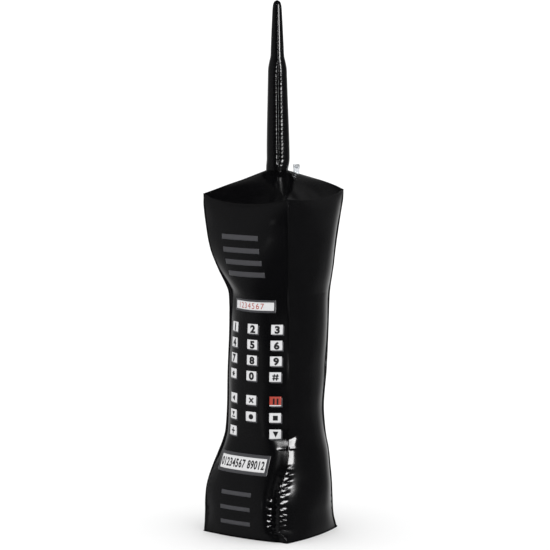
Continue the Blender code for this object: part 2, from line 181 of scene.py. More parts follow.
# A furrow beside that seam: height, reach up and down, distance from the seam, reach and depth
FURROW = (0.046, 0.040, 0.0120, 0.0064, 0.0090)
# Where the waist meets the foot the front right corner is flat: which way the flat faces
# (from the front, and upwards), its height, how deep it cuts and how soft its edges are
FLAT_FACING = (47.0, 25.0)
FLAT_HEIGHT = 0.124
FLAT_DEPTH = 0.0036
FLAT_SOFT = 0.0010
FLAT_SPAN = (0.092, 0.110, 0.140, 0.156)
# The weaker gathers of the other upright seams: wall, its seam, pitch, seed
WEAK_PUCKERS = (
    ("front", "first", 0.0090, 21), ("left", "last", 0.0090, 34),
    ("right", "last", 0.0092, 55), ("back", "first", 0.0092, 89),
    ("back", "last", 0.0088, 144), ("left", "first", 0.0088, 233),
)
# All gathers: wall, its seam, heights, size, pitch, distance from the seam, reach, seed
PUCKERS = (
    ("front", "last", (0.008, 0.110), 0.0030, 0.0085, 0.0050, 0.0040, 3),
    ("front", "last", (0.000, 0.070), 0.0052, 0.0082, 0.0148, 0.0064, 5),
    ("right", "first", (0.008, 0.112), 0.0026, 0.0084, 0.0060, 0.0055, 8),
    *(
        (wall, side, (0.010, 0.110), 0.0012, pitch, 0.0050, 0.0040, seed)
        for wall, side, pitch, seed in WEAK_PUCKERS
    ),
)
PUCKER_MARGIN = (0.25, 0.02)     # they fade over this share of their span, or this length
PUCKER_ODD = (1.1, 0.7)  # pitch of the changes in their size and in their phase, in waves
PUCKER_EVEN = 0.65       # the share of their size that doesn't vary
PUCKER_WANDER = (0.25, 0.009)    # how far, in reaches, their line wanders, and its pitch
PUCKER_LEAN = (0.35, 0.03)       # how far they lean, as a slope, and its pitch
PUCKER_STRAY = 1.6       # how far their phase strays
PUCKER_SHARP = 0.8       # the lower, the sharper the folds between two gathers
PUCKER_SINK = 0.6        # the share of their size that lies below the film

# Valve: radii between which the top film leaves its flange, and radius of the hole round it
FLANGE_REACH = (0.0105, 0.0170)
VALVE_HOLE = 0.0057
LATHE_SIDES = 40
WALL_RADIUS = 0.0034     # inside of the tube
TUBE_RADIUS = 0.0044
# Rim of the tube and outline of the cap: radius, and height above the top of the tube
TUBE_RIM = (
    (TUBE_RADIUS, -0.0050), (TUBE_RADIUS, -0.0022), (0.0047, -0.0016), (0.0050, -0.0010),
    (0.0050, -0.0004), (0.0047, 0.0), (0.0037, 0.0), (WALL_RADIUS, -0.0004),
)
CAP_LIFT = 0.0003
CAP_OUTLINE = (
    (0.0, -0.0036), (0.0018, -0.0036), (0.0023, -0.0030), (0.0027, -0.0002), (0.0031, 0.0),
    (0.0048, 0.0), (0.0052, 0.0004), (0.0051, 0.0013), (0.0044, 0.0020), (0.0026, 0.0025),
    (0.0, 0.0026),
)

# Antenna, from its box in the CAD
PIVOT = Vector((0.0, 0.0160, 0.5220))
HOLE_Z = 0.5180
HOLE_RADIUS = 0.0167
ROOT_RADIUS = 0.0157
ANTENNA_SEAM = 36.5      # degrees from the front towards the right
ANTENNA_PROFILE = (
    (0.0000, 0.0157), (0.0060, 0.0161), (0.0270, 0.0161), (0.0600, 0.0154), (0.0940, 0.0144),
    (0.1300, 0.0134), (0.1410, 0.0130), (0.1500, 0.0114), (0.1580, 0.0096), (0.1700, 0.0090),
    (0.1870, 0.0083), (0.2120, 0.0071), (0.2260, 0.0063), (0.2320, 0.0053), (0.2352, 0.0036),
    (0.2368, 0.0012),
)
ANTENNA_BEND = 0.0018    # how far its foot stands to one side, and in which direction
ANTENNA_BEND_WAY = 124.0
ANTENNA_BEND_START = (-0.004, 0.014)
ANTENNA_STEP = 0.0006
ANTENNA_COLUMNS = 44
ANTENNA_CROWDING = 0.12  # the lower, the closer the columns stand next to a seam
ANTENNA_FIN = (0.020, 0.030)     # heights over which its fins become full
ANTENNA_FIN_LEAST = 0.0001
SLIM_RADIUS = 0.012      # the gathers get smaller where the antenna is thinner than this
ROOT_FROM = -40.0        # degrees below the pivot where the ball-shaped root is open
ROOT_STEP = 4.0

# Gathers next to the antenna's seams
GATHER_PITCH = 0.0058
GATHER_REACH = 0.0028
GATHER_START = (0.002, 0.010)
SHOULDER = (0.128, 0.155)
UPPER_GATHERS = 0.30     # share of the gathers left above the shoulder
GATHER_STRAY = 2.2       # how far their phase strays along the seam
GATHER_LEAN = (0.004, 0.006)     # distance from the seam, and along it, over which they lean
GATHER_WIDTH = 0.60      # width of the folds between them
GATHER_EVEN = 0.75       # mean share of their size, the part that varies, and its pitch
GATHER_UNEVEN = 0.5
GATHER_VARIES = 0.0045
GROOVE_REACH = 0.0042
# Depth of the groove at a seam and size of its gathers, by side: near the camera, and far off
BACK_GATHERS = (0.0009, 0.0014)
FRONT_GATHERS = (0.0032, 0.0016)
FAR_GATHERS = (0.0007, 0.0006)

# Prints on the front film: distance across it from its middle, and height
INK = 0.00005            # thickness of a layer
SHADOW_LIFT = 0.00014
FACE_LIFT = 0.00022
MARK_LIFT = 0.00030
PRINT_STEP = 0.0020
GLYPH_STEP = 0.0016
ROUND_OFF = 1e-6
FRONT_STEP = 0.0012      # rows of the front film's table of places, and the heights they cover
FRONT_HEIGHTS = (0.006, 0.470)
FRONT_PITCH = 0.0010     # its columns, and how far they go to each side
FRONT_HALF = 0.0580
KEY_SIZE = (0.0166, 0.0137)
KEY_EDGE = 0.0016        # height of the pale strip at the foot of the red key
SHADOW = (0.0020, 0.0018)
DIGIT_SHIFT = (0.0004, -0.0003)
KEY_DIGITS = {"tall": 0.0112, "squeeze": 1.12, "bold": 0.055}
MARK_SHARE = 0.86        # height of a mark, as a share of a digit's
DIAL_COLUMNS = (-0.0335, 0.0040, 0.0402)
DIAL_LEAN = 0.025        # how far the dial's columns lean to the left going down, as a slope
DIAL_ROWS = (0.2979, 0.2755, 0.2531, 0.2307)
FUNCTION_COLUMNS = (-0.0322, 0.0028, 0.0395)
FUNCTION_ROWS = (0.1962, 0.1727, 0.1492)
DIAL_KEYS = (("1", "2", "3"), ("4", "5", "6"), ("7", "8", "9"), ("star", "0", "hash"))
FUNCTION_KEYS = (("recall", "clear", "power"), ("store", "lock", "end"), ("program", "", "volume"))
DISPLAY_PLACE = (0.0005, 0.3300)
DISPLAY_SIZE = (0.0670, 0.0118)
DISPLAY_OUTER = (0.0730, 0.0178)
DISPLAY_DIGITS_LEFT = 0.0030
DISPLAY_DIGITS = {"tall": 0.0082, "squeeze": 0.95, "spacing": 1.22}
PLATE_PLACE = (-0.0065, 0.1058)
PLATE_SIZE = (0.0800, 0.0185)
PLATE_OUTER = (0.0890, 0.0275)
PLATE_DIGITS = {"tall": 0.0120, "squeeze": 0.66, "bold": 0.03, "spacing": 1.12}
HEAD_BARS = ((-0.0062, 0.4285), (-0.0052, 0.4102), (-0.0032, 0.3930), (-0.0012, 0.3762))
HEAD_BAR_SIZE = (0.0625, 0.0075)
FOOT_BARS = ((-0.0087, 0.0643), (-0.0100, 0.0430), (-0.0105, 0.0217))
FOOT_BAR_SIZE = (0.0515, 0.0060)

# Materials: two tones of each, and the range of its roughness
NOISE_RANGE = (0.3, 0.7)         # the part of a noise's range that is used
FILM_TONES = ((0.0012, 0.0012, 0.0015), (0.0022, 0.0022, 0.0026))
FILM_ROUGHNESS = (0.115, 0.185)
VINYL_TONES = ((0.86, 0.88, 0.90), (0.92, 0.94, 0.96))
VINYL_ROUGHNESS = (0.08, 0.16)
FLOOR_TONES = ((0.93, 0.93, 0.93), (0.95, 0.95, 0.95))
INK_TONES = {
    "white": ((0.70, 0.70, 0.71), (0.64, 0.64, 0.65)),
    "grey": ((0.060, 0.060, 0.066), (0.048, 0.048, 0.053)),
    "red": ((0.46, 0.055, 0.032), (0.38, 0.042, 0.026)),
    "black": ((0.012, 0.012, 0.014), (0.008, 0.008, 0.009)),
}
INK_ROUGHNESS = (0.29, 0.39)

# Camera: at the viewing angle of the reference
CAMERA_AZIMUTH = 34.1
CAMERA_DISTANCE = 3.2
CAMERA_HEIGHT = 0.735
CAMERA_PITCH = 6.52
CAMERA_LENS = 147.6
CAMERA_SHIFT = 0.0077
CAMERA_SENSOR = 36.0
CAMERA_CLIP = (0.1, 60.0)

# Strip lights, aimed level at the object's axis: name, azimuth, distance, height, size, power
STRIPS = (
    ("strip_right", 70, 2.2, 1.15, (0.55, 1.6), 60),
    ("strip_left", -6, 2.2, -0.19, (0.34, 0.30), 0.06),
)
FLOOR_HALF = 120.0
FLOOR_HEIGHT = -0.0002

# What shines in the film, by direction: white low down behind the object as it stands before
# the camera, grey to its left and right and higher up behind it, almost black elsewhere. Most
# rows are the two ends of a soft step, and a third number is how bright it gets
AIR_BEHIND = (0.55, 0.99)
AIR_LOW = (0.12, 0.42)
AIR_WHITE = 0.60
AIR_DARK = 0.008
AIR_LEFT = (-0.30, -0.98, 0.150)
AIR_RIGHT = (0.30, 0.90, 0.045)
AIR_BACK = (0.20, 0.60, 0.080)
AIR_HIGH = (0.45, 0.88)
AIR_TOP = 0.04           # the share of the grey that is left above that
AIR_GAP = (0.07, 0.20)   # a dark gap straight behind the object, above the height of AIR_GAP_LOW
AIR_GAP_LOW = (0.38, 0.48)
AIR_PLAIN = 1.2          # what lights the matt surfaces


# ---------------------------------------------------------------- helpers

def spline(rows, column, at):
    """Read one column of a table on a smooth curve through its rows."""
    index = 0
    while index < len(rows) - 2 and at > rows[index + 1][0]:
        index += 1
    x0, x1 = rows[index][0], rows[index + 1][0]
    v0, v1 = rows[index][column], rows[index + 1][column]
    before = rows[max(index - 1, 0)]
    after = rows[min(index + 2, len(rows) - 1)]
    slope0 = (v1 - before[column]) / (x1 - before[0])
    slope1 = (after[column] - v0) / (after[0] - x0)
    span = x1 - x0
    s = (at - x0) / span
    return (
        (2 * s ** 3 - 3 * s ** 2 + 1) * v0
        + (s ** 3 - 2 * s ** 2 + s) * span * slope0
        + (3 * s ** 2 - 2 * s ** 3) * v1
        + (s ** 3 - s ** 2) * span * slope1
    )


def smoothstep(values, low, high):
    """From 0 at low to 1 at high, level at both ends."""
    t = np.clip((values - low) / (high - low), 0.0, 1.0)
    return t * t * (3 - 2 * t)


def unit(vectors):
    length = np.linalg.norm(vectors, axis=-1, keepdims=True)
    return vectors / np.maximum(length, 1e-12)


def wobble(values, seed):
    """Smooth noise from -1 to 1 along an array, from a few sines of odd pitch."""
    draw = random.Random(seed)
    total = np.zeros_like(values)
    for _ in range(WOBBLE_WAVES):
        total += np.sin(values * draw.uniform(*WOBBLE_PITCH) + draw.uniform(0, 2 * math.pi))
    return total / WOBBLE_WAVES


def running(points):
    """Length along a line of points, from its start to each of them."""
    return np.concatenate([[0], np.cumsum(np.linalg.norm(np.diff(points, axis=0), axis=1))])


def used_only(points, faces):
    """Leave out the points that no face uses."""
    used = sorted({index for face in faces for index in face})
    place = {index: number for number, index in enumerate(used)}
    return [points[index] for index in used], [tuple(place[i] for i in face) for face in faces]


def surface_at(grid, rows, columns):
    """Points of a grid at fractional rows and columns, on a smooth surface through its points."""
    padded = np.concatenate([2 * grid[:1] - grid[1:2], grid, 2 * grid[-1:] - grid[-2:-1]])
    padded = np.concatenate(
        [2 * padded[:, :1] - padded[:, 1:2], padded, 2 * padded[:, -1:] - padded[:, -2:-1]], axis=1
    )

    def weights(place, count):
        base = np.clip(np.floor(place).astype(int), 0, count - 2)
        f = place - base
        return base, (
            -0.5 * f ** 3 + f ** 2 - 0.5 * f,
            1.5 * f ** 3 - 2.5 * f ** 2 + 1,
            -1.5 * f ** 3 + 2 * f ** 2 + 0.5 * f,
            0.5 * f ** 3 - 0.5 * f ** 2,
        )

    row_base, row_weights = weights(rows, grid.shape[0])
    column_base, column_weights = weights(columns, grid.shape[1])
    total = 0
    for i, row_weight in enumerate(row_weights):
        for j, column_weight in enumerate(column_weights):
            share = (row_weight * column_weight)[..., None]
            total = total + share * padded[row_base + i, column_base + j]
    return total


def crowded(count):
    """Even steps from 0 to 1, drawn together towards both ends."""
    even = np.linspace(0, 1, count)
    return (1 - EDGE_CROWDING) * even + EDGE_CROWDING * (0.5 - 0.5 * np.cos(math.pi * even))


def refine(grid):
    """More points on the same smooth wall: closest together at its seams and at the foot."""
    cells = grid.shape[0] - 1
    foot = round(FOOT_TOP / PATTERN_HEIGHT * cells)
    rows = np.concatenate([
        np.linspace(0, foot, foot * FOOT_FINE, endpoint=False),
        np.linspace(foot, cells, (cells - foot) * FINE + 1),
    ])
    columns = crowded((grid.shape[1] - 1) * FINE + 1) * (grid.shape[1] - 1)
    return surface_at(grid, *np.meshgrid(rows, columns, indexing="ij"))


def grid_normals(grid):
    """Outward normals of a grid: its rows run up and its points run right, seen from outside."""
    up = np.gradient(grid, axis=0)
    right = np.gradient(grid, axis=1)
    return unit(np.cross(right, up))


def mesh_object(name, points, faces, finish, body, replaced=()):
    """A piece that rides a body, in place of the CAD nodes that it replaces."""
    mesh = bpy.data.meshes.new(name)
    mesh.from_pydata(np.asarray(points, float).tolist(), [], faces)
    mesh.update()
    mesh.materials.append(finish)
    mesh.shade_smooth()
    made = bpy.data.objects.new(name, mesh)
    bpy.context.scene.collection.objects.link(made)
    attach(made, body)
    if replaced:
        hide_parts(*replaced)
    return made


def grid_faces(rows, columns, closed=False):
    """Four-sided faces between the rows of a grid of points. A closed grid joins its two sides."""
    faces = []
    last = columns if closed else columns - 1
    for row in range(rows - 1):
        for column in range(last):
            after = (column + 1) % columns
            low = row * columns
            high = low + columns
            faces.append((low + column, low + after, high + after, high + column))
    return faces


def thicken(made, thickness, offset=-1.0):
    """Give a sheet its thickness: to its back, or with an offset of 1 to its front."""
    solid = made.modifiers.new("film", "SOLIDIFY")
    solid.thickness = thickness
    solid.offset = offset
    return made


def film(name, points, faces, finish, body, node, offset=-1.0):
    """One sheet of the black film, in place of its CAD node."""
    made = mesh_object(name, points, faces, finish, body, (node,))
    return thicken(made, FILM, offset)


# ---------------------------------------------------------------- materials

class Tree:
    """A node tree, with short calls for the nodes that are used here."""

    def __init__(self, tree):
        self.tree = tree

    def add(self, kind, **values):
        made = self.tree.nodes.new(kind)
        for key, value in values.items():
            setattr(made, key, value)
        return made

    def link(self, start, end):
        self.tree.links.new(start, end)

    def ranged(self, value, start, end, low, high, shape="LINEAR"):
        """From low to high while a value goes from start to end, and level outside."""
        made = self.add("ShaderNodeMapRange", interpolation_type=shape)
        self.link(value, made.inputs["Value"])
        for key, number in zip(("From Min", "From Max", "To Min", "To Max"), (start, end, low, high)):
            made.inputs[key].default_value = number
        return made.outputs["Result"]


class Material(Tree):
    """A material, with short calls for what varies over its surface."""

    def __init__(self, name):
        self.material = bpy.data.materials.new(name)
        self.material.use_nodes = True
        super().__init__(self.material.node_tree)
        self.shader = self.tree.nodes["Principled BSDF"]
        self.place = self.add("ShaderNodeTexCoord").outputs["Object"]

    def noise(self, scale, detail):
        made = self.add("ShaderNodeTexNoise")
        made.inputs["Scale"].default_value = scale
        made.inputs["Detail"].default_value = detail
        self.link(self.place, made.inputs["Vector"])
        return made.outputs["Fac"]

    def roughness(self, low, high, scale, detail):
        """Roughness that varies between two values over the surface."""
        value = self.ranged(self.noise(scale, detail), *NOISE_RANGE, low, high)
        self.link(value, self.shader.inputs["Roughness"])

    def colour(self, first, second, scale, detail):
        """Base colour that varies between two tones over the surface."""
        made = self.add("ShaderNodeMix", data_type="RGBA")
        made.inputs["A"].default_value = (*first, 1)
        made.inputs["B"].default_value = (*second, 1)
        self.link(self.noise(scale, detail), made.inputs["Factor"])
        self.link(made.outputs["Result"], self.shader.inputs["Base Color"])

    def bumps(self, *layers):
        """Bump from several heights, each a value, a strength and a depth."""
        normal = None
        for value, strength, distance in layers:
            made = self.add("ShaderNodeBump")
            made.inputs["Strength"].default_value = strength
            made.inputs["Distance"].default_value = distance
            self.link(value, made.inputs["Height"])
            if normal is not None:
                self.link(normal, made.inputs["Normal"])
            normal = made.outputs["Normal"]
        self.link(normal, self.shader.inputs["Normal"])

    def set(self, **values):
        for key, value in values.items():
            self.shader.inputs[key.replace("_", " ")].default_value = value


def black_film():
    nodes = Material("black_film")
    nodes.colour(*FILM_TONES, 9.0, 4.0)
    nodes.roughness(*FILM_ROUGHNESS, 38.0, 5.0)
    nodes.bumps(
        (nodes.noise(26.0, 2.0), 0.10, 0.0010),
        (nodes.noise(620.0, 2.0), 0.06, 0.0001),
    )
    nodes.set(Specular_IOR_Level=0.5, IOR=1.5)
    return nodes.material


def ink(name, tones):
    nodes = Material(name)
    nodes.colour(*tones, 180.0, 4.0)
    nodes.roughness(*INK_ROUGHNESS, 300.0, 3.0)
    nodes.bumps((nodes.noise(1500.0, 2.0), 0.08, 0.00005))
    return nodes.material


def clear_vinyl():
    nodes = Material("clear_vinyl")
    nodes.colour(*VINYL_TONES, 300.0, 3.0)
    nodes.roughness(*VINYL_ROUGHNESS, 500.0, 3.0)
    nodes.set(Transmission_Weight=0.92, IOR=1.45)
    return nodes.material


# ---------------------------------------------------------------- envelope

def sag_at(u, v):
    front = SAG_FRONT * (1 - u * u) * (1 - v) / 2
    back = SAG_BACK * (1 - u * u) * (1 + v) / 2
    return (front + back) * v * v + SAG_SIDE * (1 - v * v) * u * u


def pattern_point(i, j, k):
    nx, ny, nz = CELLS
    height = PATTERN_HEIGHT * k / nz
    half, front, back = (spline(PATTERN, column, height) for column in (1, 2, 3))
    u = 2 * i / nx - 1
    v = 2 * j / ny - 1
    fade = max(0.0, (height / PATTERN_HEIGHT - (1 - SAG_SHARE)) / SAG_SHARE)
    z = height - sag_at(u, v) * fade * fade
    if k == nz:
        z += ROOF_RISE * (1 - max(abs(u), abs(v)))
    return (half * u, (front + back) / 2 + (back - front) / 2 * v, z)


def pattern_mesh():
    """The six panels joined at their seams, not yet blown up."""
    nx, ny, nz = CELLS
    index = {}
    points = []
    faces = []

    def vert(i, j, k):
        if (i, j, k) not in index:
            index[(i, j, k)] = len(points)
            points.append(pattern_point(i, j, k))
        return index[(i, j, k)]

    def quad(*corners):
        faces.append([vert(*corner) for corner in corners])

    for k in range(nz):
        for i in range(nx):
            quad((i, 0, k), (i + 1, 0, k), (i + 1, 0, k + 1), (i, 0, k + 1))
            quad((i + 1, ny, k), (i, ny, k), (i, ny, k + 1), (i + 1, ny, k + 1))
        for j in range(ny):
            quad((nx, j, k), (nx, j + 1, k), (nx, j + 1, k + 1), (nx, j, k + 1))
            quad((0, j + 1, k), (0, j, k), (0, j, k + 1), (0, j + 1, k + 1))
    for i in range(nx):
        for j in range(ny):
            quad((i, j, nz), (i + 1, j, nz), (i + 1, j + 1, nz), (i, j + 1, nz))
            quad((i, j + 1, 0), (i + 1, j + 1, 0), (i + 1, j, 0), (i, j, 0))
    mesh = bpy.data.meshes.new("pattern")
    mesh.from_pydata(points, [], faces)
    mesh.update()
    return mesh, index


def blow_up():
    """Run the cloth under air pressure. Returns its points by column, depth and row."""
    nx, ny, nz = CELLS
    mesh, index = pattern_mesh()
    bag = bpy.data.objects.new("pattern", mesh)
    bpy.context.scene.collection.objects.link(bag)
    held = bag.vertex_groups.new(name="held")
    held.add([number for (i, j, k), number in index.items() if k == 0], 1.0, "REPLACE")
    seam = bag.vertex_groups.new(name="seam")
    ends = ((0, nx), (0, ny), (0, nz))
    on_seam = [
        number for key, number in index.items()
        if sum(place in pair for place, pair in zip(key, ends)) >= 2
    ]
    seam.add(on_seam, 1.0, "REPLACE")
    cloth = bag.modifiers.new("air", "CLOTH")
    settings = cloth.settings
    settings.quality = CLOTH_QUALITY
    settings.mass = CLOTH_MASS * (PATTERN_HEIGHT / nz / CLOTH_CELL) ** 2
    settings.use_pressure = True
    settings.uniform_pressure_force = PRESSURE
    for name, value in CLOTH.items():
        setattr(settings, name, value)
    settings.vertex_group_mass = "held"
    settings.vertex_group_shrink = "seam"
    settings.shrink_min = 0.0
    settings.shrink_max = SEAM_SHRINK
    settings.effector_weights.gravity = 0
    cloth.collision_settings.use_collision = False
    cloth.point_cache.frame_start = 1
    cloth.point_cache.frame_end = CLOTH_FRAMES
    scene = bpy.context.scene
    for number in range(1, CLOTH_FRAMES + 1):
        scene.frame_set(number)
    shown = bag.evaluated_get(bpy.context.evaluated_depsgraph_get())
    flat = np.zeros(len(shown.data.vertices) * 3)
    shown.data.vertices.foreach_get("co", flat)
    flat = flat.reshape(-1, 3)
    points = np.full((nx + 1, ny + 1, nz + 1, 3), np.nan)
    for (i, j, k), number in index.items():
        points[i, j, k] = flat[number]
    bpy.data.objects.remove(bag, do_unlink=True)
    scene.frame_set(1)
    return points


def walls_of(points):
    """The four walls as grids: rows upwards, columns to the right seen from outside."""
    nx, ny, nz = CELLS
    return {
        "front": points[:, 0, :].transpose(1, 0, 2),
        "right": points[nx, :, :].transpose(1, 0, 2),
        "back": points[::-1, ny, :].transpose(1, 0, 2),
        "left": points[0, ::-1, :].transpose(1, 0, 2),
    }


def relax(walls):
    """Smooth the wrinkles of the coarse cloth out of the walls, and leave their outer rows alone."""
    for name, grid in walls.items():
        for _ in range(CALM_ALONG):
            grid[1:-1] += (grid[:-2] - 2 * grid[1:-1] + grid[2:]) / 4
        for _ in range(CALM_ACROSS):
            grid[:, 1:-1] += (grid[:, :-2] - 2 * grid[:, 1:-1] + grid[:, 2:]) / 4
        walls[name] = grid
    return walls


def seat(walls):
    """Bring the four upright seams to their lines, and the walls between them along."""
    sides = {
        "front": ((-1, 2), (1, 2)), "right": ((1, 2), (1, 3)),
        "back": ((1, 3), (-1, 3)), "left": ((-1, 3), (-1, 2)),
    }
    for name, grid in walls.items():
        share = np.linspace(0, 1, grid.shape[1])[None, :, None]
        shifts = []
        for column, (sign, depth) in zip((0, -1), sides[name]):
            line = grid[:, column]
            lifted = [min(height, SEAM_LINES[-1][0]) for height in line[:, 2]]
            target = np.array([
                (sign * spline(SEAM_LINES, 1, height), spline(SEAM_LINES, depth, height))
                for height in lifted
            ])
            shift = np.zeros_like(line)
            shift[:, :2] = target - line[:, :2]
            shifts.append(shift[:, None])
        walls[name] = grid + shifts[0] * (1 - share) + shifts[1] * share
    return walls


def shape_bulges(walls):
    """Even out how far each wall stands out between its two seams."""
    for name, grid in walls.items():
        share = np.linspace(0, 1, grid.shape[1])[None, :, None]
        middle = (1 - (2 * share - 1) ** 2)
        chord = grid[:, :1] * (1 - share) + grid[:, -1:] * share
        height = chord[:, :1, 2:]
        share_kept = FLATTER_BY if name in ("left", "right") else 0.0
        flatter = 1 - share_kept * np.exp(-(((height - FLATTER_AT) / FLATTER_REACH) ** 2))
        bulge = grid - chord
        bulge[..., :2] *= flatter
        across = grid[:, -1:] - grid[:, :1]
        outward = unit(np.cross(across, [0.0, 0.0, 1.0]))
        fuller = TOP_FULLER * smoothstep(height, *TOP_SPAN)
        bow = BASE_BOW * (1 - smoothstep(height, 0.0, BASE_BOW_TOP))
        grid = chord + bulge + outward * middle * (fuller + bow)
        grid[..., 2] -= TOP_LOWER * smoothstep(grid[..., 2], *TOP_SPAN)
        walls[name] = grid
    return walls


def draw_in(walls):
    """Pull the foot of the front right seam to one side, as its short weld does."""
    right = np.array([1.0, 1.0, 0.0]) * math.sqrt(0.5)
    inwards = np.array([-1.0, 1.0, 0.0]) * math.sqrt(0.5)
    pull = inwards * DRAWN_BY[1] - right * DRAWN_BY[0]
    for name, column, reach in (("front", -1, DRAWN_FRONT), ("right", 0, DRAWN_RIGHT)):
        grid = walls[name]
        line = grid[:, column]
        start, full, ease, end = DRAWN_SEAM
        along = smoothstep(line[:, 2], start, full) * (1 - smoothstep(line[:, 2], ease, end))
        away = np.linalg.norm(grid - line[:, None], axis=2)
        fade = along[:, None] * np.exp(-((away / reach) ** 2))
        walls[name] = grid + pull * fade[..., None]
    return walls


def flatten(walls):
    """Cut the front right corner flat where the waist meets the foot."""
    azimuth, tilt = (math.radians(angle) for angle in FLAT_FACING)
    facing = np.array([
        math.sin(azimuth) * math.cos(tilt), -math.cos(azimuth) * math.cos(tilt), math.sin(tilt)
    ])
    seam = walls["front"][:, -1]
    level = seam[np.argmin(np.abs(seam[:, 2] - FLAT_HEIGHT))] @ facing - FLAT_DEPTH
    low, full, ease, end = FLAT_SPAN
    for name in ("front", "right"):
        grid = walls[name]
        height = grid[..., 2]
        share = smoothstep(height, low, full) * (1 - smoothstep(height, ease, end))
        past = FLAT_SOFT * np.logaddexp(0.0, (grid @ facing - level) / FLAT_SOFT)
        walls[name] = grid - facing * (past * share)[..., None]
    return walls


def furrow(walls):
    """A soft furrow in the front film's foot, beside its right seam."""
    height, tall, place, wide, depth = FURROW
    grid = walls["front"]
    away = np.linalg.norm(grid - grid[:, -1:], axis=2)
    shape = np.exp(-(((away - place) / wide) ** 2) - ((grid[..., 2] - height) / tall) ** 2)
    shape = shape * smoothstep(away, 0.0, SEAM_CLEAR)
    walls["front"] = grid - grid_normals(grid) * (depth * shape)[..., None]
    return walls


def crease(grid, first, height, depth, reach, slope):
    """A shallow groove that runs from a seam into a wall."""
    line = grid[:, 0 if first else -1]
    away = np.linalg.norm(grid - line[:, None], axis=2)
    stray = wobble(away / CREASE_PITCH, round(height * 1000))
    level = height + slope * away + CREASE_STRAY * stray
    across = np.exp(-(((grid[..., 2] - level) / CREASE_WIDTH) ** 2))
    fade = smoothstep(away, CREASE_CLEAR, SEAM_CLEAR)
    fade = fade * (1 - smoothstep(away, CREASE_EVEN * reach, reach))
    return grid - grid_normals(grid) * (depth * across * fade)[..., None]


def pucker(grid, side, heights, size, pitch, place, reach, seed):
    """Gathers in a wall beside one of its seams: between two heights, some way from the seam."""
    normals = grid_normals(grid)
    columns = grid.shape[1]
    order = np.arange(columns) if side == "first" else np.arange(columns)[::-1]
    steps = np.linalg.norm(np.diff(grid[:, order], axis=1), axis=2)
    away = np.concatenate([np.zeros((grid.shape[0], 1)), np.cumsum(steps, axis=1)], axis=1)
    height = grid[:, order, 2]
    low, high = heights
    margin = min(PUCKER_MARGIN[0] * (high - low), PUCKER_MARGIN[1])
    strength = smoothstep(height, low, low + margin) * (1 - smoothstep(height, high - margin, high))
    uneven = (1 - PUCKER_EVEN) * wobble(height / pitch * PUCKER_ODD[0], seed + 1)
    strength = strength * (PUCKER_EVEN + uneven)
    wander = place + PUCKER_WANDER[0] * reach * wobble(height / PUCKER_WANDER[1], seed + 4)
    shape = np.exp(-(((away - wander) / reach) ** 2)) * smoothstep(away, 0.0, SEAM_CLEAR)
    lean = PUCKER_LEAN[0] * away * wobble(height / PUCKER_LEAN[1], seed + 2)
    stray = PUCKER_STRAY * wobble(height / pitch * PUCKER_ODD[1], seed + 3)
    phase = 2 * math.pi * (height + lean) / pitch + stray
    ridge = np.abs(np.sin(phase / 2)) ** PUCKER_SHARP - PUCKER_SINK
    lift = size * strength * shape * ridge
    moved = grid.copy()
    moved[:, order] += normals[:, order] * lift[..., None]
    return moved


def seam_frame(first_edge, first_normals, second_normals, seed):
    """Direction of a weld fin along a seam, and the direction to the first film's own side."""
    def smooth(vectors):
        for _ in range(FIN_CALM):
            vectors[1:-1] = (vectors[:-2] + 2 * vectors[1:-1] + vectors[2:]) / 4
        return vectors

    fin = unit(smooth(unit(first_normals + second_normals)))
    along = unit(np.gradient(first_edge, axis=0))
    own = first_normals - (first_normals * fin).sum(1, keepdims=True) * fin
    own = own - (own * along).sum(1, keepdims=True) * along
    own = unit(smooth(unit(own)))
    sway = FIN_WAVE * wobble(running(first_edge) / FIN_PITCH, seed)[:, None]
    return unit(fin + own * sway), own


def fin_widths(line):
    """Width of the weld fin along a seam that ends at a top corner, or runs between two."""
    run = running(line)
    away = run[-1] - run
    if line[0, 2] > TOP_SPAN[0]:
        away = np.minimum(run, away)
    return (FIN_CORNER + (FIN_WIDTH - FIN_CORNER) * smoothstep(away, 0.0, FIN_FADE))[:, None]


def with_fins(grid, left, right, bottom, top):
    """Add the fin strips round a panel. Each side is (fin directions, own-side directions)."""
    rows, columns = grid.shape[:2]
    inner = grid.copy()
    shift = np.zeros_like(grid)
    shift[:, 0] += left[1]
    shift[:, -1] += right[1]
    shift[0] += bottom[1]
    shift[-1] += top[1]
    inner += shift * SIDE_STEP
    made = np.zeros((rows + 2, columns + 2, 3))
    made[1:-1, 1:-1] = inner
    made[1:-1, 0] = inner[:, 0] + left[0] * fin_widths(grid[:, 0])
    made[1:-1, -1] = inner[:, -1] + right[0] * fin_widths(grid[:, -1])
    made[0, 1:-1] = inner[0] + bottom[0] * FIN_WIDTH
    made[-1, 1:-1] = inner[-1] + top[0] * fin_widths(grid[-1])
    for row, end, edge, width in ((0, 0, bottom, FIN_WIDTH), (-1, -1, top, FIN_CORNER)):
        for column, side in ((0, left), (-1, right)):
            reach = (edge[0][column] + side[0][end]) * width
            made[row, column] = inner[end, column] + reach
    return made


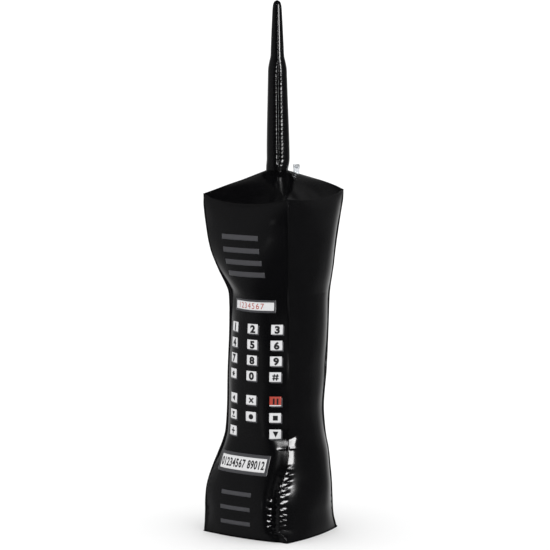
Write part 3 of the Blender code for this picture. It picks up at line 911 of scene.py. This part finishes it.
def roof_grid(points, walls):
    """The top panel as rings from its seam to the antenna's hole."""
    nx, ny, nz = CELLS
    roof = points[:, :, nz].transpose(1, 0, 2)
    side = crowded(nx * FINE + 1)[:-1]
    deep = crowded(ny * FINE + 1)[:-1]
    columns = np.concatenate([side * nx, np.full(len(deep), nx), nx - side * nx, np.zeros(len(deep))])
    rows = np.concatenate([np.zeros(len(side)), deep * ny, np.full(len(side), ny), ny - deep * ny])
    rim = np.concatenate([walls[name][-1, :-1] for name in WALLS])
    half, front, back = (spline(PATTERN, column, PATTERN_HEIGHT) for column in (1, 2, 3))
    flat = np.stack([-half + 2 * half * columns / nx, front + (back - front) * rows / ny], axis=1)
    spoke = unit(flat - np.array([PIVOT.x, PIVOT.y]))
    hole = spoke * HOLE_RADIUS + np.array([PIVOT.x, PIVOT.y])
    hole_columns = (hole[:, 0] + half) / (2 * half) * nx
    hole_rows = (hole[:, 1] - front) / (back - front) * ny
    target = np.concatenate([hole, np.full((len(hole), 1), HOLE_Z)], axis=1)
    found = surface_at(roof, hole_rows, hole_columns)
    moved = rim - surface_at(roof, rows, columns)
    way = np.degrees(np.arctan2(flat[:, 0], PIVOT.y - flat[:, 1]))
    lift = sum(
        height * np.exp(-(((way - middle + 180) % 360 - 180) / ROOF_LIFT_SPREAD) ** 2)
        for middle, height in ROOF_LIFTS
    )
    corners = sum(
        height * np.exp(-(((way - middle) / CORNER_SPREAD) ** 2))
        for middle, height in ROOF_CORNERS
    )
    rings = ROOF_RINGS * FINE
    made = [rim]
    for ring in range(1, rings + 1):
        share = ring / rings
        row = surface_at(
            roof, rows + (hole_rows - rows) * share, columns + (hole_columns - columns) * share
        )
        row = row + moved * (1 - share) ** ROOF_RIM_POWER
        row = row + (target - found) * share ** ROOF_HOLE_POWER
        row[:, 2] += lift * math.sin(math.pi * share ** ROOF_LIFT_POWER)
        row[:, 2] += corners * share / CORNER_SHARE * math.exp(1 - share / CORNER_SHARE)
        made.append(row)
    made = np.stack(made)
    weight = smoothstep(np.linspace(0, 1, rings + 1), 0.0, ROOF_CALM_SHARE)[1:-1, None, None]
    for _ in range(ROOF_CALM):
        made[1:-1] += (made[:-2] - 2 * made[1:-1] + made[2:]) / 16
        around = np.roll(made, 1, 1) - 2 * made + np.roll(made, -1, 1)
        made[1:-1] += weight * around[1:-1] / 4
    return wedge(made)


def wedge(rings):
    """Lay the roof's ridge flat between the front right corner and the antenna."""
    corner = rings[0, np.argmax(rings[0, :, 0] - rings[0, :, 1])]
    way = unit(np.array([PIVOT.x, PIVOT.y]) - corner[:2])
    along = (rings[..., :2] - corner[:2]) @ way
    past = (rings[..., 2] - corner[2] - WEDGE_SLOPE * along) / WEDGE_SOFT
    share = 1 - smoothstep(np.linspace(0, 1, len(rings)), *WEDGE_END)[:, None]
    share = share * smoothstep(along, 0.0, WEDGE_START)
    rings[..., 2] -= WEDGE_SOFT * np.logaddexp(0.0, past) * share
    return rings


def roof_normals(rings):
    around = np.roll(rings, -1, axis=1) - np.roll(rings, 1, axis=1)
    inward = np.gradient(rings, axis=0)
    return unit(np.cross(around, inward))


def cover_flange(points):
    """Lift the top film clear of the valve's flange, which is welded to its inside."""
    _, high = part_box("valve_flange")
    away = np.linalg.norm(points[:, :2] - np.array(valve_axis()), axis=1)
    near = 1 - smoothstep(away, *FLANGE_REACH)
    moved = points.copy()
    moved[:, 2] += near * np.maximum(0.0, high.z + 3 * FILM - points[:, 2])
    return moved


def valve_axis():
    low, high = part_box("valve_stem")
    middle = (low + high) / 2
    return middle.x, middle.y


def punch(points, faces):
    """Leave a round hole for the valve, and bring the points at its edge onto the circle."""
    axis = np.array(valve_axis())
    away = np.linalg.norm(points[:, :2] - axis, axis=1)
    kept = []
    edge = set()
    for face in faces:
        middle = points[list(face), :2].mean(axis=0)
        if np.linalg.norm(middle - axis) < VALVE_HOLE:
            edge.update(face)
        else:
            kept.append(face)
    edge &= {index for face in kept for index in face}
    for index in edge:
        points[index, :2] = axis + (points[index, :2] - axis) * (VALVE_HOLE / away[index])
    return used_only(points, kept)


def roof_panel(rings, walls, seams, finish):
    """The top film: its weld rim, its rings and a hole for the valve."""
    fins = np.concatenate([seams[name][0][:-1] for name in WALLS])
    own = np.concatenate([-seams[name][1][:-1] for name in WALLS])
    inner = rings.copy()
    inner[0] += own * SIDE_STEP
    widths = [fin_widths(walls[name][-1])[:-1] for name in WALLS]
    edge = inner[0] + fins * np.concatenate(widths)
    grid = np.concatenate([edge[None], inner])
    faces = grid_faces(grid.shape[0], grid.shape[1], closed=True)
    points, faces = punch(cover_flange(grid.reshape(-1, 3)), faces)
    film("top_film", points, faces, finish, "envelope", "top_panel")


def base_panel(walls, finish):
    """The flat base film, out to the edge of the weld all round."""
    ring = np.concatenate([walls[name][0, :-1] for name in WALLS])
    ring = ring * [1, 1, 0]
    middle = ring.mean(axis=0)
    around = np.roll(ring, -1, axis=0) - np.roll(ring, 1, axis=0)
    outward = unit(np.cross(around, [0, 0, 1]))
    rows = [
        middle + (ring - middle) * step / BASE_RINGS for step in range(1, BASE_RINGS + 1)
    ]
    grid = np.stack([*rows, ring + outward * FIN_WIDTH])
    points = np.concatenate([grid.reshape(-1, 3), middle[None]])
    count = grid.shape[1]
    faces = grid_faces(grid.shape[0], count, closed=True)
    faces += [(len(points) - 1, (column + 1) % count, column) for column in range(count)]
    film("base_film", points, faces, finish, "envelope", "base_panel", offset=1.0)


def corner_frames(walls, normals):
    """Fin and own-side directions of each wall's right seam."""
    made = {}
    for number, name in enumerate(WALLS):
        after = normals[WALLS[(number + 1) % 4]][:, 0]
        made[name] = seam_frame(walls[name][:, -1], normals[name][:, -1], after, number)
    return made


def top_frames(walls, normals, above):
    """The same for each wall's top seam, under the normals of the roof next to them."""
    made = {}
    start = 0
    for number, name in enumerate(WALLS):
        count = walls[name].shape[1]
        roof_side = np.take(above, np.arange(start, start + count), axis=0, mode="wrap")
        made[name] = seam_frame(walls[name][-1], normals[name][-1], roof_side, 10 + number)
        start += count - 1
    for number, name in enumerate(WALLS):
        after = WALLS[(number + 1) % 4]
        joined = unit(made[name][0][-1] + made[after][0][0])
        made[name][0][-1] = joined
        made[after][0][0] = joined
    return made


def shaped_walls(points):
    """The four walls, from the blown-up cloth to their last crease."""
    walls = shape_bulges(seat(relax(walls_of(points.copy()))))
    walls = {name: refine(grid) for name, grid in walls.items()}
    for grid in walls.values():
        grid[0, :, 2] = FILM * 2
    walls = furrow(flatten(draw_in(walls)))
    for name, side, *shape in PUCKERS:
        walls[name] = pucker(walls[name], side, *shape)
    for names, *shape in CREASES:
        for name in names:
            walls[name] = crease(walls[name], name == "right", *shape)
    return walls


def envelope(finish):
    """The six films of the bag. Returns its front wall, which carries the prints."""
    points = blow_up()
    walls = shaped_walls(points)
    rings = roof_grid(points, walls)
    normals = {name: grid_normals(grid) for name, grid in walls.items()}
    corners = corner_frames(walls, normals)
    tops = top_frames(walls, normals, roof_normals(rings)[0])
    for number, name in enumerate(WALLS):
        before = corners[WALLS[number - 1]]
        bottom = unit(normals[name][0] * [1, 1, 0])
        bottom = (bottom, np.zeros_like(bottom))
        grid = with_fins(walls[name], (before[0], -before[1]), corners[name], bottom, tops[name])
        faces = grid_faces(*grid.shape[:2])
        node = name + "_panel" if name in ("front", "back") else name + "_side_panel"
        film(name + "_film", grid.reshape(-1, 3), faces, finish, "envelope", node)
    roof_panel(rings, walls, tops, finish)
    base_panel(walls, finish)
    return walls["front"]


# ---------------------------------------------------------------- antenna

def antenna_stations():
    """Radius and height of the antenna's film about its pivot, from its open root to its tip."""
    angles = np.radians(np.arange(ROOT_FROM, 0.0, ROOT_STEP))
    heights = np.arange(0.0, ANTENNA_PROFILE[-1][0], ANTENNA_STEP)
    heights = np.append(heights, ANTENNA_PROFILE[-1][0])
    radii = [spline(ANTENNA_PROFILE, 1, height) for height in heights]
    radius = np.concatenate([ROOT_RADIUS * np.cos(angles), radii])
    height = np.concatenate([ROOT_RADIUS * np.sin(angles), heights])
    return radius, height


def antenna_gathers(away, height, seed, groove, size):
    """How far the film stands in or out next to a seam of the antenna."""
    lower = 1 - smoothstep(height, *SHOULDER)
    strength = smoothstep(height, *GATHER_START) * (UPPER_GATHERS + (1 - UPPER_GATHERS) * lower)
    stray = GATHER_STRAY * wobble(height / GATHER_PITCH * 0.8, seed)
    lean = away / GATHER_LEAN[0] * wobble(height / GATHER_LEAN[1], seed + 1)
    phase = 2 * math.pi * height / GATHER_PITCH + stray + lean
    ridge = 0.5 - np.exp(-((np.sin(phase / 2) / GATHER_WIDTH) ** 2))
    across = away / GATHER_REACH
    shape = across * np.exp(1 - across)
    uneven = GATHER_EVEN + GATHER_UNEVEN * wobble(height / GATHER_VARIES, seed + 2)
    return strength * (size * uneven * shape * ridge - groove * np.exp(-away / GROOVE_REACH))


def radial(azimuth):
    angle = np.radians(azimuth)
    return np.stack([np.sin(angle), -np.cos(angle), np.zeros_like(angle)], axis=-1)


def antenna_lift(radius, height, share, near_first):
    """How far the film of one half stands out over its girth, from its two seams' gathers."""
    run = np.pi * radius[:, None] * share[None, :]
    back = np.pi * radius[:, None] * (1 - share[None, :])
    near, far = (run, back) if near_first else (back, run)
    tall = np.repeat(height[:, None], ANTENNA_COLUMNS, axis=1)
    if near_first:
        lift = antenna_gathers(near, tall, 7, *BACK_GATHERS)
    else:
        lift = antenna_gathers(near, tall, 4, *FRONT_GATHERS)
    lift = lift + antenna_gathers(far, tall, 15, *FAR_GATHERS)
    return lift * np.clip(radius / SLIM_RADIUS, 0.0, 1.0)[:, None] ** 2


def antenna_film(name, first, near_first, node, finish):
    """One half of the antenna's tube, between its two seams."""
    radius, height = antenna_stations()
    spread = ANTENNA_CROWDING + (1 - 2 * ANTENNA_CROWDING) * np.linspace(0, 1, ANTENNA_COLUMNS)
    share = 0.5 - 0.5 * np.cos(math.pi * spread)
    share = (share - share[0]) / (share[-1] - share[0])
    wide = radius[:, None] + antenna_lift(radius, height, share, near_first)
    grid = radial(first + 180 * share)[None] * wide[..., None]
    grid[..., 2] = height[:, None]
    grid = grid + radial(np.array(first + 90.0)) * SIDE_STEP
    bend = ANTENNA_BEND * (1 - np.clip(height / height[-1], 0, 1)) ** 1.5
    bend = bend * smoothstep(height, *ANTENNA_BEND_START)
    grid = grid + radial(np.array(ANTENNA_BEND_WAY)) * bend[:, None, None]
    outward = unit(np.stack([np.gradient(height), -np.gradient(radius)], axis=1))
    fin = FIN_WIDTH * smoothstep(height, *ANTENNA_FIN) + ANTENNA_FIN_LEAST
    edges = []
    for column, angle in ((0, first), (-1, first + 180)):
        out = radial(np.array(float(angle)))[None] * outward[:, :1]
        out[:, 2] = outward[:, 1]
        edges.append((grid[:, column] + out * fin[:, None])[:, None])
    grid = np.concatenate([edges[0], grid, edges[1]], axis=1) + np.array(PIVOT)
    film(name, grid.reshape(-1, 3), grid_faces(*grid.shape[:2]), finish, "antenna", node)


def antenna(finish):
    antenna_film("antenna_front_film", ANTENNA_SEAM - 180, False, "antenna_front_sheet", finish)
    antenna_film("antenna_back_film", ANTENNA_SEAM, True, "antenna_back_sheet", finish)
    NODES["antenna_root_ring"].material_slots[0].material = finish


# ---------------------------------------------------------------- valve

def lathe(name, outline, place, ring, finish, body, node):
    """Turn an outline of radius and height about an upright axis. A ring's outline is closed."""
    outline = np.array(outline)
    angle = np.linspace(0, 2 * math.pi, LATHE_SIDES, endpoint=False)
    count = len(outline)
    grid = np.zeros((count, LATHE_SIDES, 3))
    grid[..., 0] = outline[:, :1] * np.cos(angle)
    grid[..., 1] = outline[:, :1] * np.sin(angle)
    grid[..., 2] = outline[:, 1:]
    faces = grid_faces(count, LATHE_SIDES, closed=True)
    if ring:
        low = (count - 1) * LATHE_SIDES
        for side in range(LATHE_SIDES):
            after = (side + 1) % LATHE_SIDES
            faces.append((low + side, low + after, after, side))
    points = grid.reshape(-1, 3) + np.array(place)
    made = mesh_object(name, points, faces, finish, body, (node,))
    shape = bmesh.new()
    shape.from_mesh(made.data)
    bmesh.ops.remove_doubles(shape, verts=shape.verts, dist=1e-7)
    bmesh.ops.recalc_face_normals(shape, faces=shape.faces)
    shape.to_mesh(made.data)
    shape.free()
    rounding = made.modifiers.new("round", "SUBSURF")
    rounding.levels = 1
    rounding.render_levels = 1


def valve(finish):
    """The clear inflation valve: an upright tube with a lip, and a cap with a plug."""
    low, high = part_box("valve_stem")
    depth = high.z - low.z
    foot = ((WALL_RADIUS, -depth), (0.0042, -depth), (TUBE_RADIUS, -depth + 0.0004))
    place = (*valve_axis(), high.z)
    lathe("valve_tube_wall", foot + TUBE_RIM, place, True, finish, "valve_tube", "valve_stem")
    place = (*valve_axis(), high.z + CAP_LIFT)
    lathe("valve_cap_top", CAP_OUTLINE, place, False, finish, "valve_cap", "valve_plug")
    for node in ("valve_flange", "valve_strap", "valve_check_flap"):
        NODES[node].material_slots[0].material = finish


# ---------------------------------------------------------------- prints

class FrontFilm:
    """The printed film. Places on it are given across it from its middle, and by height."""

    def __init__(self, grid, inks):
        self.inks = inks
        levels = np.arange(*FRONT_HEIGHTS, FRONT_STEP)
        across = np.arange(-FRONT_HALF, FRONT_HALF + FRONT_PITCH / 2, FRONT_PITCH)
        columns = grid.shape[1]
        flat = np.zeros((len(levels), columns, 2))
        for column in range(columns):
            height = np.maximum.accumulate(grid[:, column, 2])
            for part in (0, 1):
                flat[:, column, part] = np.interp(levels, height, grid[:, column, part])
        table = np.zeros((len(levels), len(across), 3))
        for row, places in enumerate(flat):
            run = running(places)
            run -= np.interp(0.0, places[:, 0], run)
            table[row, :, 0] = np.interp(across, run, places[:, 0])
            table[row, :, 1] = np.interp(across, run, places[:, 1])
            table[row, :, 2] = levels[row]
        self.table = table
        self.normals = grid_normals(table)

    def lift(self, flat, height):
        """Points of flat artwork, laid on the film and raised off it by a height."""
        flat = np.asarray(flat, float)
        rows = (flat[:, 1] - FRONT_HEIGHTS[0]) / FRONT_STEP
        columns = (flat[:, 0] + FRONT_HALF) / FRONT_PITCH
        points = surface_at(self.table, rows, columns)
        normals = unit(surface_at(self.normals, rows, columns))
        return points + normals * height

    def put(self, name, artwork, height, ink_name, *nodes):
        """Print flat artwork on the film, in place of a CAD node if one is named."""
        points, faces = artwork
        lifted = self.lift(points, height)
        made = mesh_object(name, lifted, faces, self.inks[ink_name], "envelope", nodes)
        thicken(made, INK)


def rectangle(across, height, size, hole=None):
    """Flat artwork: a rectangle cut in small squares, with another one left out of its middle."""
    lines = []
    for middle, whole, inner in zip((across, height), size, hole or size):
        halves = (whole / 2, inner / 2)
        edges = sorted({middle + sign * half for sign in (-1, 1) for half in halves})
        places = []
        for start, end in zip(edges, edges[1:]):
            count = max(1, math.ceil((end - start) / PRINT_STEP - ROUND_OFF))
            places += list(np.linspace(start, end, count, endpoint=False))
        lines.append(np.array(places + [edges[-1]]))
    columns, rows = lines
    points = [(x, y) for y in rows for x in columns]
    faces = []
    for number, face in enumerate(grid_faces(len(rows), len(columns))):
        row, column = divmod(number, len(columns) - 1)
        x = (columns[column] + columns[column + 1]) / 2 - across
        y = (rows[row] + rows[row + 1]) / 2 - height
        if hole and abs(x) < hole[0] / 2 and abs(y) < hole[1] / 2:
            continue
        faces.append(face)
    return used_only(points, faces)


def cut_small(shape):
    """Cut flat artwork on a fine square grid, so that it can follow the film."""
    for axis, normal in enumerate((Vector((1, 0, 0)), Vector((0, 1, 0)))):
        places = [vertex.co[axis] for vertex in shape.verts]
        first = math.ceil(min(places) / GLYPH_STEP)
        last = math.floor(max(places) / GLYPH_STEP)
        for number in range(first, last + 1):
            everything = shape.verts[:] + shape.edges[:] + shape.faces[:]
            bmesh.ops.bisect_plane(
                shape, geom=everything, plane_co=normal * number * GLYPH_STEP, plane_no=normal
            )


def flat_artwork(shape):
    """Points and faces of a flat shape, cut small."""
    cut_small(shape)
    bmesh.ops.remove_doubles(shape, verts=shape.verts, dist=ROUND_OFF)
    bmesh.ops.dissolve_degenerate(shape, edges=shape.edges, dist=ROUND_OFF)
    shape.verts.index_update()
    points = [(vertex.co.x, vertex.co.y) for vertex in shape.verts]
    faces = [tuple(vertex.index for vertex in face.verts) for face in shape.faces]
    shape.free()
    return points, faces


def digits(text, across, height, tall, squeeze=1.0, bold=0.0, spacing=1.0):
    """Flat artwork of digits, of a given height, in the middle of a place."""
    curve = bpy.data.curves.new("digits", "FONT")
    curve.body = text
    curve.size = 1.0
    curve.offset = bold
    curve.space_character = spacing
    curve.resolution_u = 4
    writing = bpy.data.objects.new("digits", curve)
    bpy.context.scene.collection.objects.link(writing)
    shown = writing.evaluated_get(bpy.context.evaluated_depsgraph_get())
    mesh = bpy.data.meshes.new_from_object(shown)
    bpy.data.objects.remove(writing, do_unlink=True)
    shape = bmesh.new()
    shape.from_mesh(mesh)
    low = Vector([min(vertex.co[axis] for vertex in shape.verts) for axis in range(3)])
    high = Vector([max(vertex.co[axis] for vertex in shape.verts) for axis in range(3)])
    scale = tall / (high.y - low.y)
    for vertex in shape.verts:
        x = (vertex.co.x - (low.x + high.x) / 2) * scale * squeeze + across
        y = (vertex.co.y - (low.y + high.y) / 2) * scale + height
        vertex.co = (x, y, 0)
    return flat_artwork(shape)


def bar(width, tall, turn=0.0, x=0.0, y=0.0):
    """A plain bar as four corners, turned by an angle in degrees."""
    spin = Matrix.Rotation(math.radians(turn), 2)
    corners = ((-1, -1), (1, -1), (1, 1), (-1, 1))
    return [spin @ Vector((a * width / 2, b * tall / 2)) + Vector((x, y)) for a, b in corners]


def disc(radius, sides=20):
    steps = [2 * math.pi * side / sides for side in range(sides)]
    return [Vector((radius * math.cos(a), radius * math.sin(a))) for a in steps]


# Plain marks for the keys that have no digit, in units of a digit's height
MARKS = {
    "star": [bar(0.80, 0.19, 0), bar(0.80, 0.19, 60), bar(0.80, 0.19, 120)],
    "hash": [
        bar(0.20, 0.95, -8, -0.21), bar(0.20, 0.95, -8, 0.21),
        bar(0.92, 0.19, 0, 0, 0.19), bar(0.92, 0.19, 0, 0, -0.19),
    ],
    "recall": [[Vector((-0.42, 0)), Vector((0.30, -0.45)), Vector((0.30, 0.45))]],
    "clear": [bar(0.21, 1.0, 45), bar(0.21, 1.0, -45)],
    "power": [bar(0.26, 0.90, 0, -0.28), bar(0.26, 0.90, 0, 0.28)],
    "store": [
        bar(0.80, 0.17, 0, 0, -0.36),
        [Vector((-0.38, 0.42)), Vector((0, -0.20)), Vector((0.38, 0.42))],
    ],
    "lock": [disc(0.40)],
    "end": [bar(0.72, 0.72)],
    "program": [bar(0.20, 0.95), bar(0.80, 0.20)],
    "volume": [[Vector((-0.42, 0.45)), Vector((0, -0.48)), Vector((0.42, 0.45))]],
}


def mark(name, across, height, tall):
    """Flat artwork of a plain mark, from one or more simple outlines."""
    points = []
    faces = []
    for outline in MARKS[name]:
        shape = bmesh.new()
        corners = [shape.verts.new((p.x * tall + across, p.y * tall + height, 0)) for p in outline]
        face = shape.faces.new(corners)
        face.normal_update()
        if face.normal.z < 0:
            face.normal_flip()
        more_points, more_faces = flat_artwork(shape)
        faces += [tuple(index + len(points) for index in face) for face in more_faces]
        points += more_points
    return points, faces


def key(name, across, height, front):
    """A printed key: a white face, its grey drop shadow and a black digit or mark."""
    shade = rectangle(across + SHADOW[0], height - SHADOW[1], KEY_SIZE)
    front.put(f"key_{name}_shadow", shade, SHADOW_LIFT, "grey")
    face = "red" if name == "power" else "white"
    tile = rectangle(across, height, KEY_SIZE)
    front.put(f"key_{name}_face", tile, FACE_LIFT, face, "key_" + name)
    middle = (across + DIGIT_SHIFT[0], height + DIGIT_SHIFT[1])
    if name in MARKS:
        artwork = mark(name, *middle, KEY_DIGITS["tall"] * MARK_SHARE)
    else:
        artwork = digits(name, *middle, **KEY_DIGITS)
    front.put(f"key_{name}_mark", artwork, MARK_LIFT, "black")
    if name == "power":
        strip_height = height - KEY_SIZE[1] / 2 + KEY_EDGE / 2
        strip = rectangle(across, strip_height, (KEY_SIZE[0], KEY_EDGE))
        front.put("key_power_edge", strip, MARK_LIFT, "white")


def keypad(front):
    """Twenty keys: four rows to dial, and three rows of functions."""
    blocks = (
        (DIAL_ROWS, DIAL_COLUMNS, DIAL_KEYS, DIAL_LEAN),
        (FUNCTION_ROWS, FUNCTION_COLUMNS, FUNCTION_KEYS, 0.0),
    )
    for rows, columns, names, lean in blocks:
        for height, line in zip(rows, names):
            for across, name in zip(columns, line):
                if name:
                    key(name, across + lean * (height - rows[0]), height, front)


def framed(name, place, size, outer, border_node, face_node, front):
    """A white field with a grey border round it."""
    front.put(name + "_edge", rectangle(*place, outer, size), FACE_LIFT, "grey", border_node)
    front.put(name + "_face", rectangle(*place, size), FACE_LIFT, "white", face_node)


def display(front):
    framed(
        "display", DISPLAY_PLACE, DISPLAY_SIZE, DISPLAY_OUTER, "display_border", "display_window", front
    )
    across, height = DISPLAY_PLACE
    number = digits("1234567", across - DISPLAY_DIGITS_LEFT, height, **DISPLAY_DIGITS)
    front.put("display_digits", number, MARK_LIFT, "red")


def name_plate(front):
    framed(
        "name_plate", PLATE_PLACE, PLATE_SIZE, PLATE_OUTER, "name_plate_border", "name_plate", front
    )
    number = digits("01234567 89012", *PLATE_PLACE, **PLATE_DIGITS)
    front.put("name_plate_digits", number, MARK_LIFT, "black")


def bars(front):
    """The printed grilles: four bars at the head, and three at the foot."""
    grilles = (("head", HEAD_BARS, HEAD_BAR_SIZE), ("foot", FOOT_BARS, FOOT_BAR_SIZE))
    for name, places, size in grilles:
        for number, place in enumerate(places, 1):
            stripe = rectangle(*place, size)
            front.put(f"{name}_stripe_{number}", stripe, FACE_LIFT, "grey", f"{name}_bar_{number}")


# ---------------------------------------------------------------- stage

def camera():
    azimuth = math.radians(CAMERA_AZIMUTH)
    data = bpy.data.cameras.new("camera")
    data.lens = CAMERA_LENS
    data.sensor_width = CAMERA_SENSOR
    data.shift_x = CAMERA_SHIFT
    data.clip_start, data.clip_end = CAMERA_CLIP
    made = bpy.data.objects.new("camera", data)
    made.location = (
        math.sin(azimuth) * CAMERA_DISTANCE, -math.cos(azimuth) * CAMERA_DISTANCE, CAMERA_HEIGHT
    )
    made.rotation_euler = (math.radians(90 - CAMERA_PITCH), 0.0, azimuth)
    bpy.context.scene.collection.objects.link(made)
    bpy.context.scene.camera = made


def area_light(name, azimuth, distance, height, size, power):
    """A soft rectangle of light, aimed level at the object's axis."""
    data = bpy.data.lights.new(name, "AREA")
    data.shape = "RECTANGLE"
    data.size, data.size_y = size
    data.energy = power
    angle = math.radians(azimuth)
    made = bpy.data.objects.new(name, data)
    made.location = (math.sin(angle) * distance, -math.cos(angle) * distance, height)
    look = Vector((0, 0, height)) - made.location
    made.rotation_euler = look.to_track_quat("-Z", "Y").to_euler()
    made.visible_diffuse = False
    bpy.context.scene.collection.objects.link(made)


def floor():
    mesh = bpy.data.meshes.new("floor")
    corners = ((-1, -1), (1, -1), (1, 1), (-1, 1))
    points = [(x * FLOOR_HALF, y * FLOOR_HALF, FLOOR_HEIGHT) for x, y in corners]
    mesh.from_pydata(points, [], [(0, 1, 2, 3)])
    made = bpy.data.objects.new("floor", mesh)
    nodes = Material("floor")
    nodes.colour(*FLOOR_TONES, 3.0, 3.0)
    nodes.set(Roughness=0.9, Specular_IOR_Level=0.0)
    mesh.materials.append(nodes.material)
    made.visible_glossy = False
    made.visible_shadow = False
    bpy.context.scene.collection.objects.link(made)


class Air(Tree):
    """The world's node tree: how bright it is in each direction."""

    def __init__(self, world):
        super().__init__(world.node_tree)
        self.tree.nodes.clear()
        place = self.add("ShaderNodeTexCoord").outputs["Generated"]
        self.way = self.add("ShaderNodeSeparateXYZ")
        self.link(place, self.way.inputs["Vector"])

    def math(self, operation, first, second):
        made = self.add("ShaderNodeMath", operation=operation)
        for socket, value in zip(made.inputs, (first, second)):
            if isinstance(value, (int, float)):
                socket.default_value = value
            else:
                self.link(value, socket)
        return made.outputs[0]

    def total(self, *values):
        made = values[0]
        for value in values[1:]:
            made = self.math("ADD", made, value)
        return made

    def product(self, first, second):
        return self.math("MULTIPLY", first, second)

    def towards(self, x, y):
        """How far a direction points along another one, which lies level."""
        return self.total(self.product(self.way.outputs["X"], x), self.product(self.way.outputs["Y"], y))

    def step(self, value, ends, low, high):
        """A soft step from low to high."""
        return self.ranged(value, *ends, low, high, "SMOOTHSTEP")


def shine(air):
    """What the film's gloss shows."""
    angle = math.radians(CAMERA_AZIMUTH)
    ahead = air.towards(-math.sin(angle), math.cos(angle))
    beside = air.towards(math.cos(angle), math.sin(angle))
    up = air.way.outputs["Z"]
    white = air.product(air.step(ahead, AIR_BEHIND, 0.0, AIR_WHITE), air.step(up, AIR_LOW, 1.0, 0.0))
    greys = [
        air.step(value, ends, 0.0, bright)
        for value, (*ends, bright) in ((beside, AIR_LEFT), (beside, AIR_RIGHT), (ahead, AIR_BACK))
    ]
    gap = air.math(
        "MAXIMUM",
        air.step(air.math("ABSOLUTE", beside, 0.0), AIR_GAP, 0.0, 1.0),
        air.step(up, AIR_GAP_LOW, 1.0, 0.0),
    )
    share = air.product(air.step(up, AIR_HIGH, 1.0, AIR_TOP), gap)
    return air.total(white, air.product(air.total(AIR_DARK, *greys), share))


def studio_air():
    """Pale surroundings for the matt surfaces, and lighter and darker parts for the film's gloss."""
    world = bpy.data.worlds.new("studio")
    bpy.context.scene.world = world
    world.use_nodes = True
    air = Air(world)
    gloss = air.add("ShaderNodeLightPath").outputs["Is Glossy Ray"]
    plain = air.product(air.math("SUBTRACT", 1.0, gloss), AIR_PLAIN)
    background = air.add("ShaderNodeBackground")
    background.inputs["Color"].default_value = (1, 1, 1, 1)
    air.link(air.total(air.product(shine(air), gloss), plain), background.inputs["Strength"])
    output = air.add("ShaderNodeOutputWorld")
    air.link(background.outputs["Background"], output.inputs["Surface"])


def stage():
    camera()
    floor()
    studio_air()
    for strip in STRIPS:
        area_light(*strip)
    bpy.context.scene.view_settings.view_transform = "Standard"
    bpy.context.scene.view_settings.look = "None"


def main():
    black = black_film()
    inks = {name: ink(name + "_ink", tones) for name, tones in INK_TONES.items()}
    stage()
    front = FrontFilm(envelope(black), inks)
    antenna(black)
    valve(clear_vinyl())
    keypad(front)
    display(front)
    name_plate(front)
    bars(front)


main()
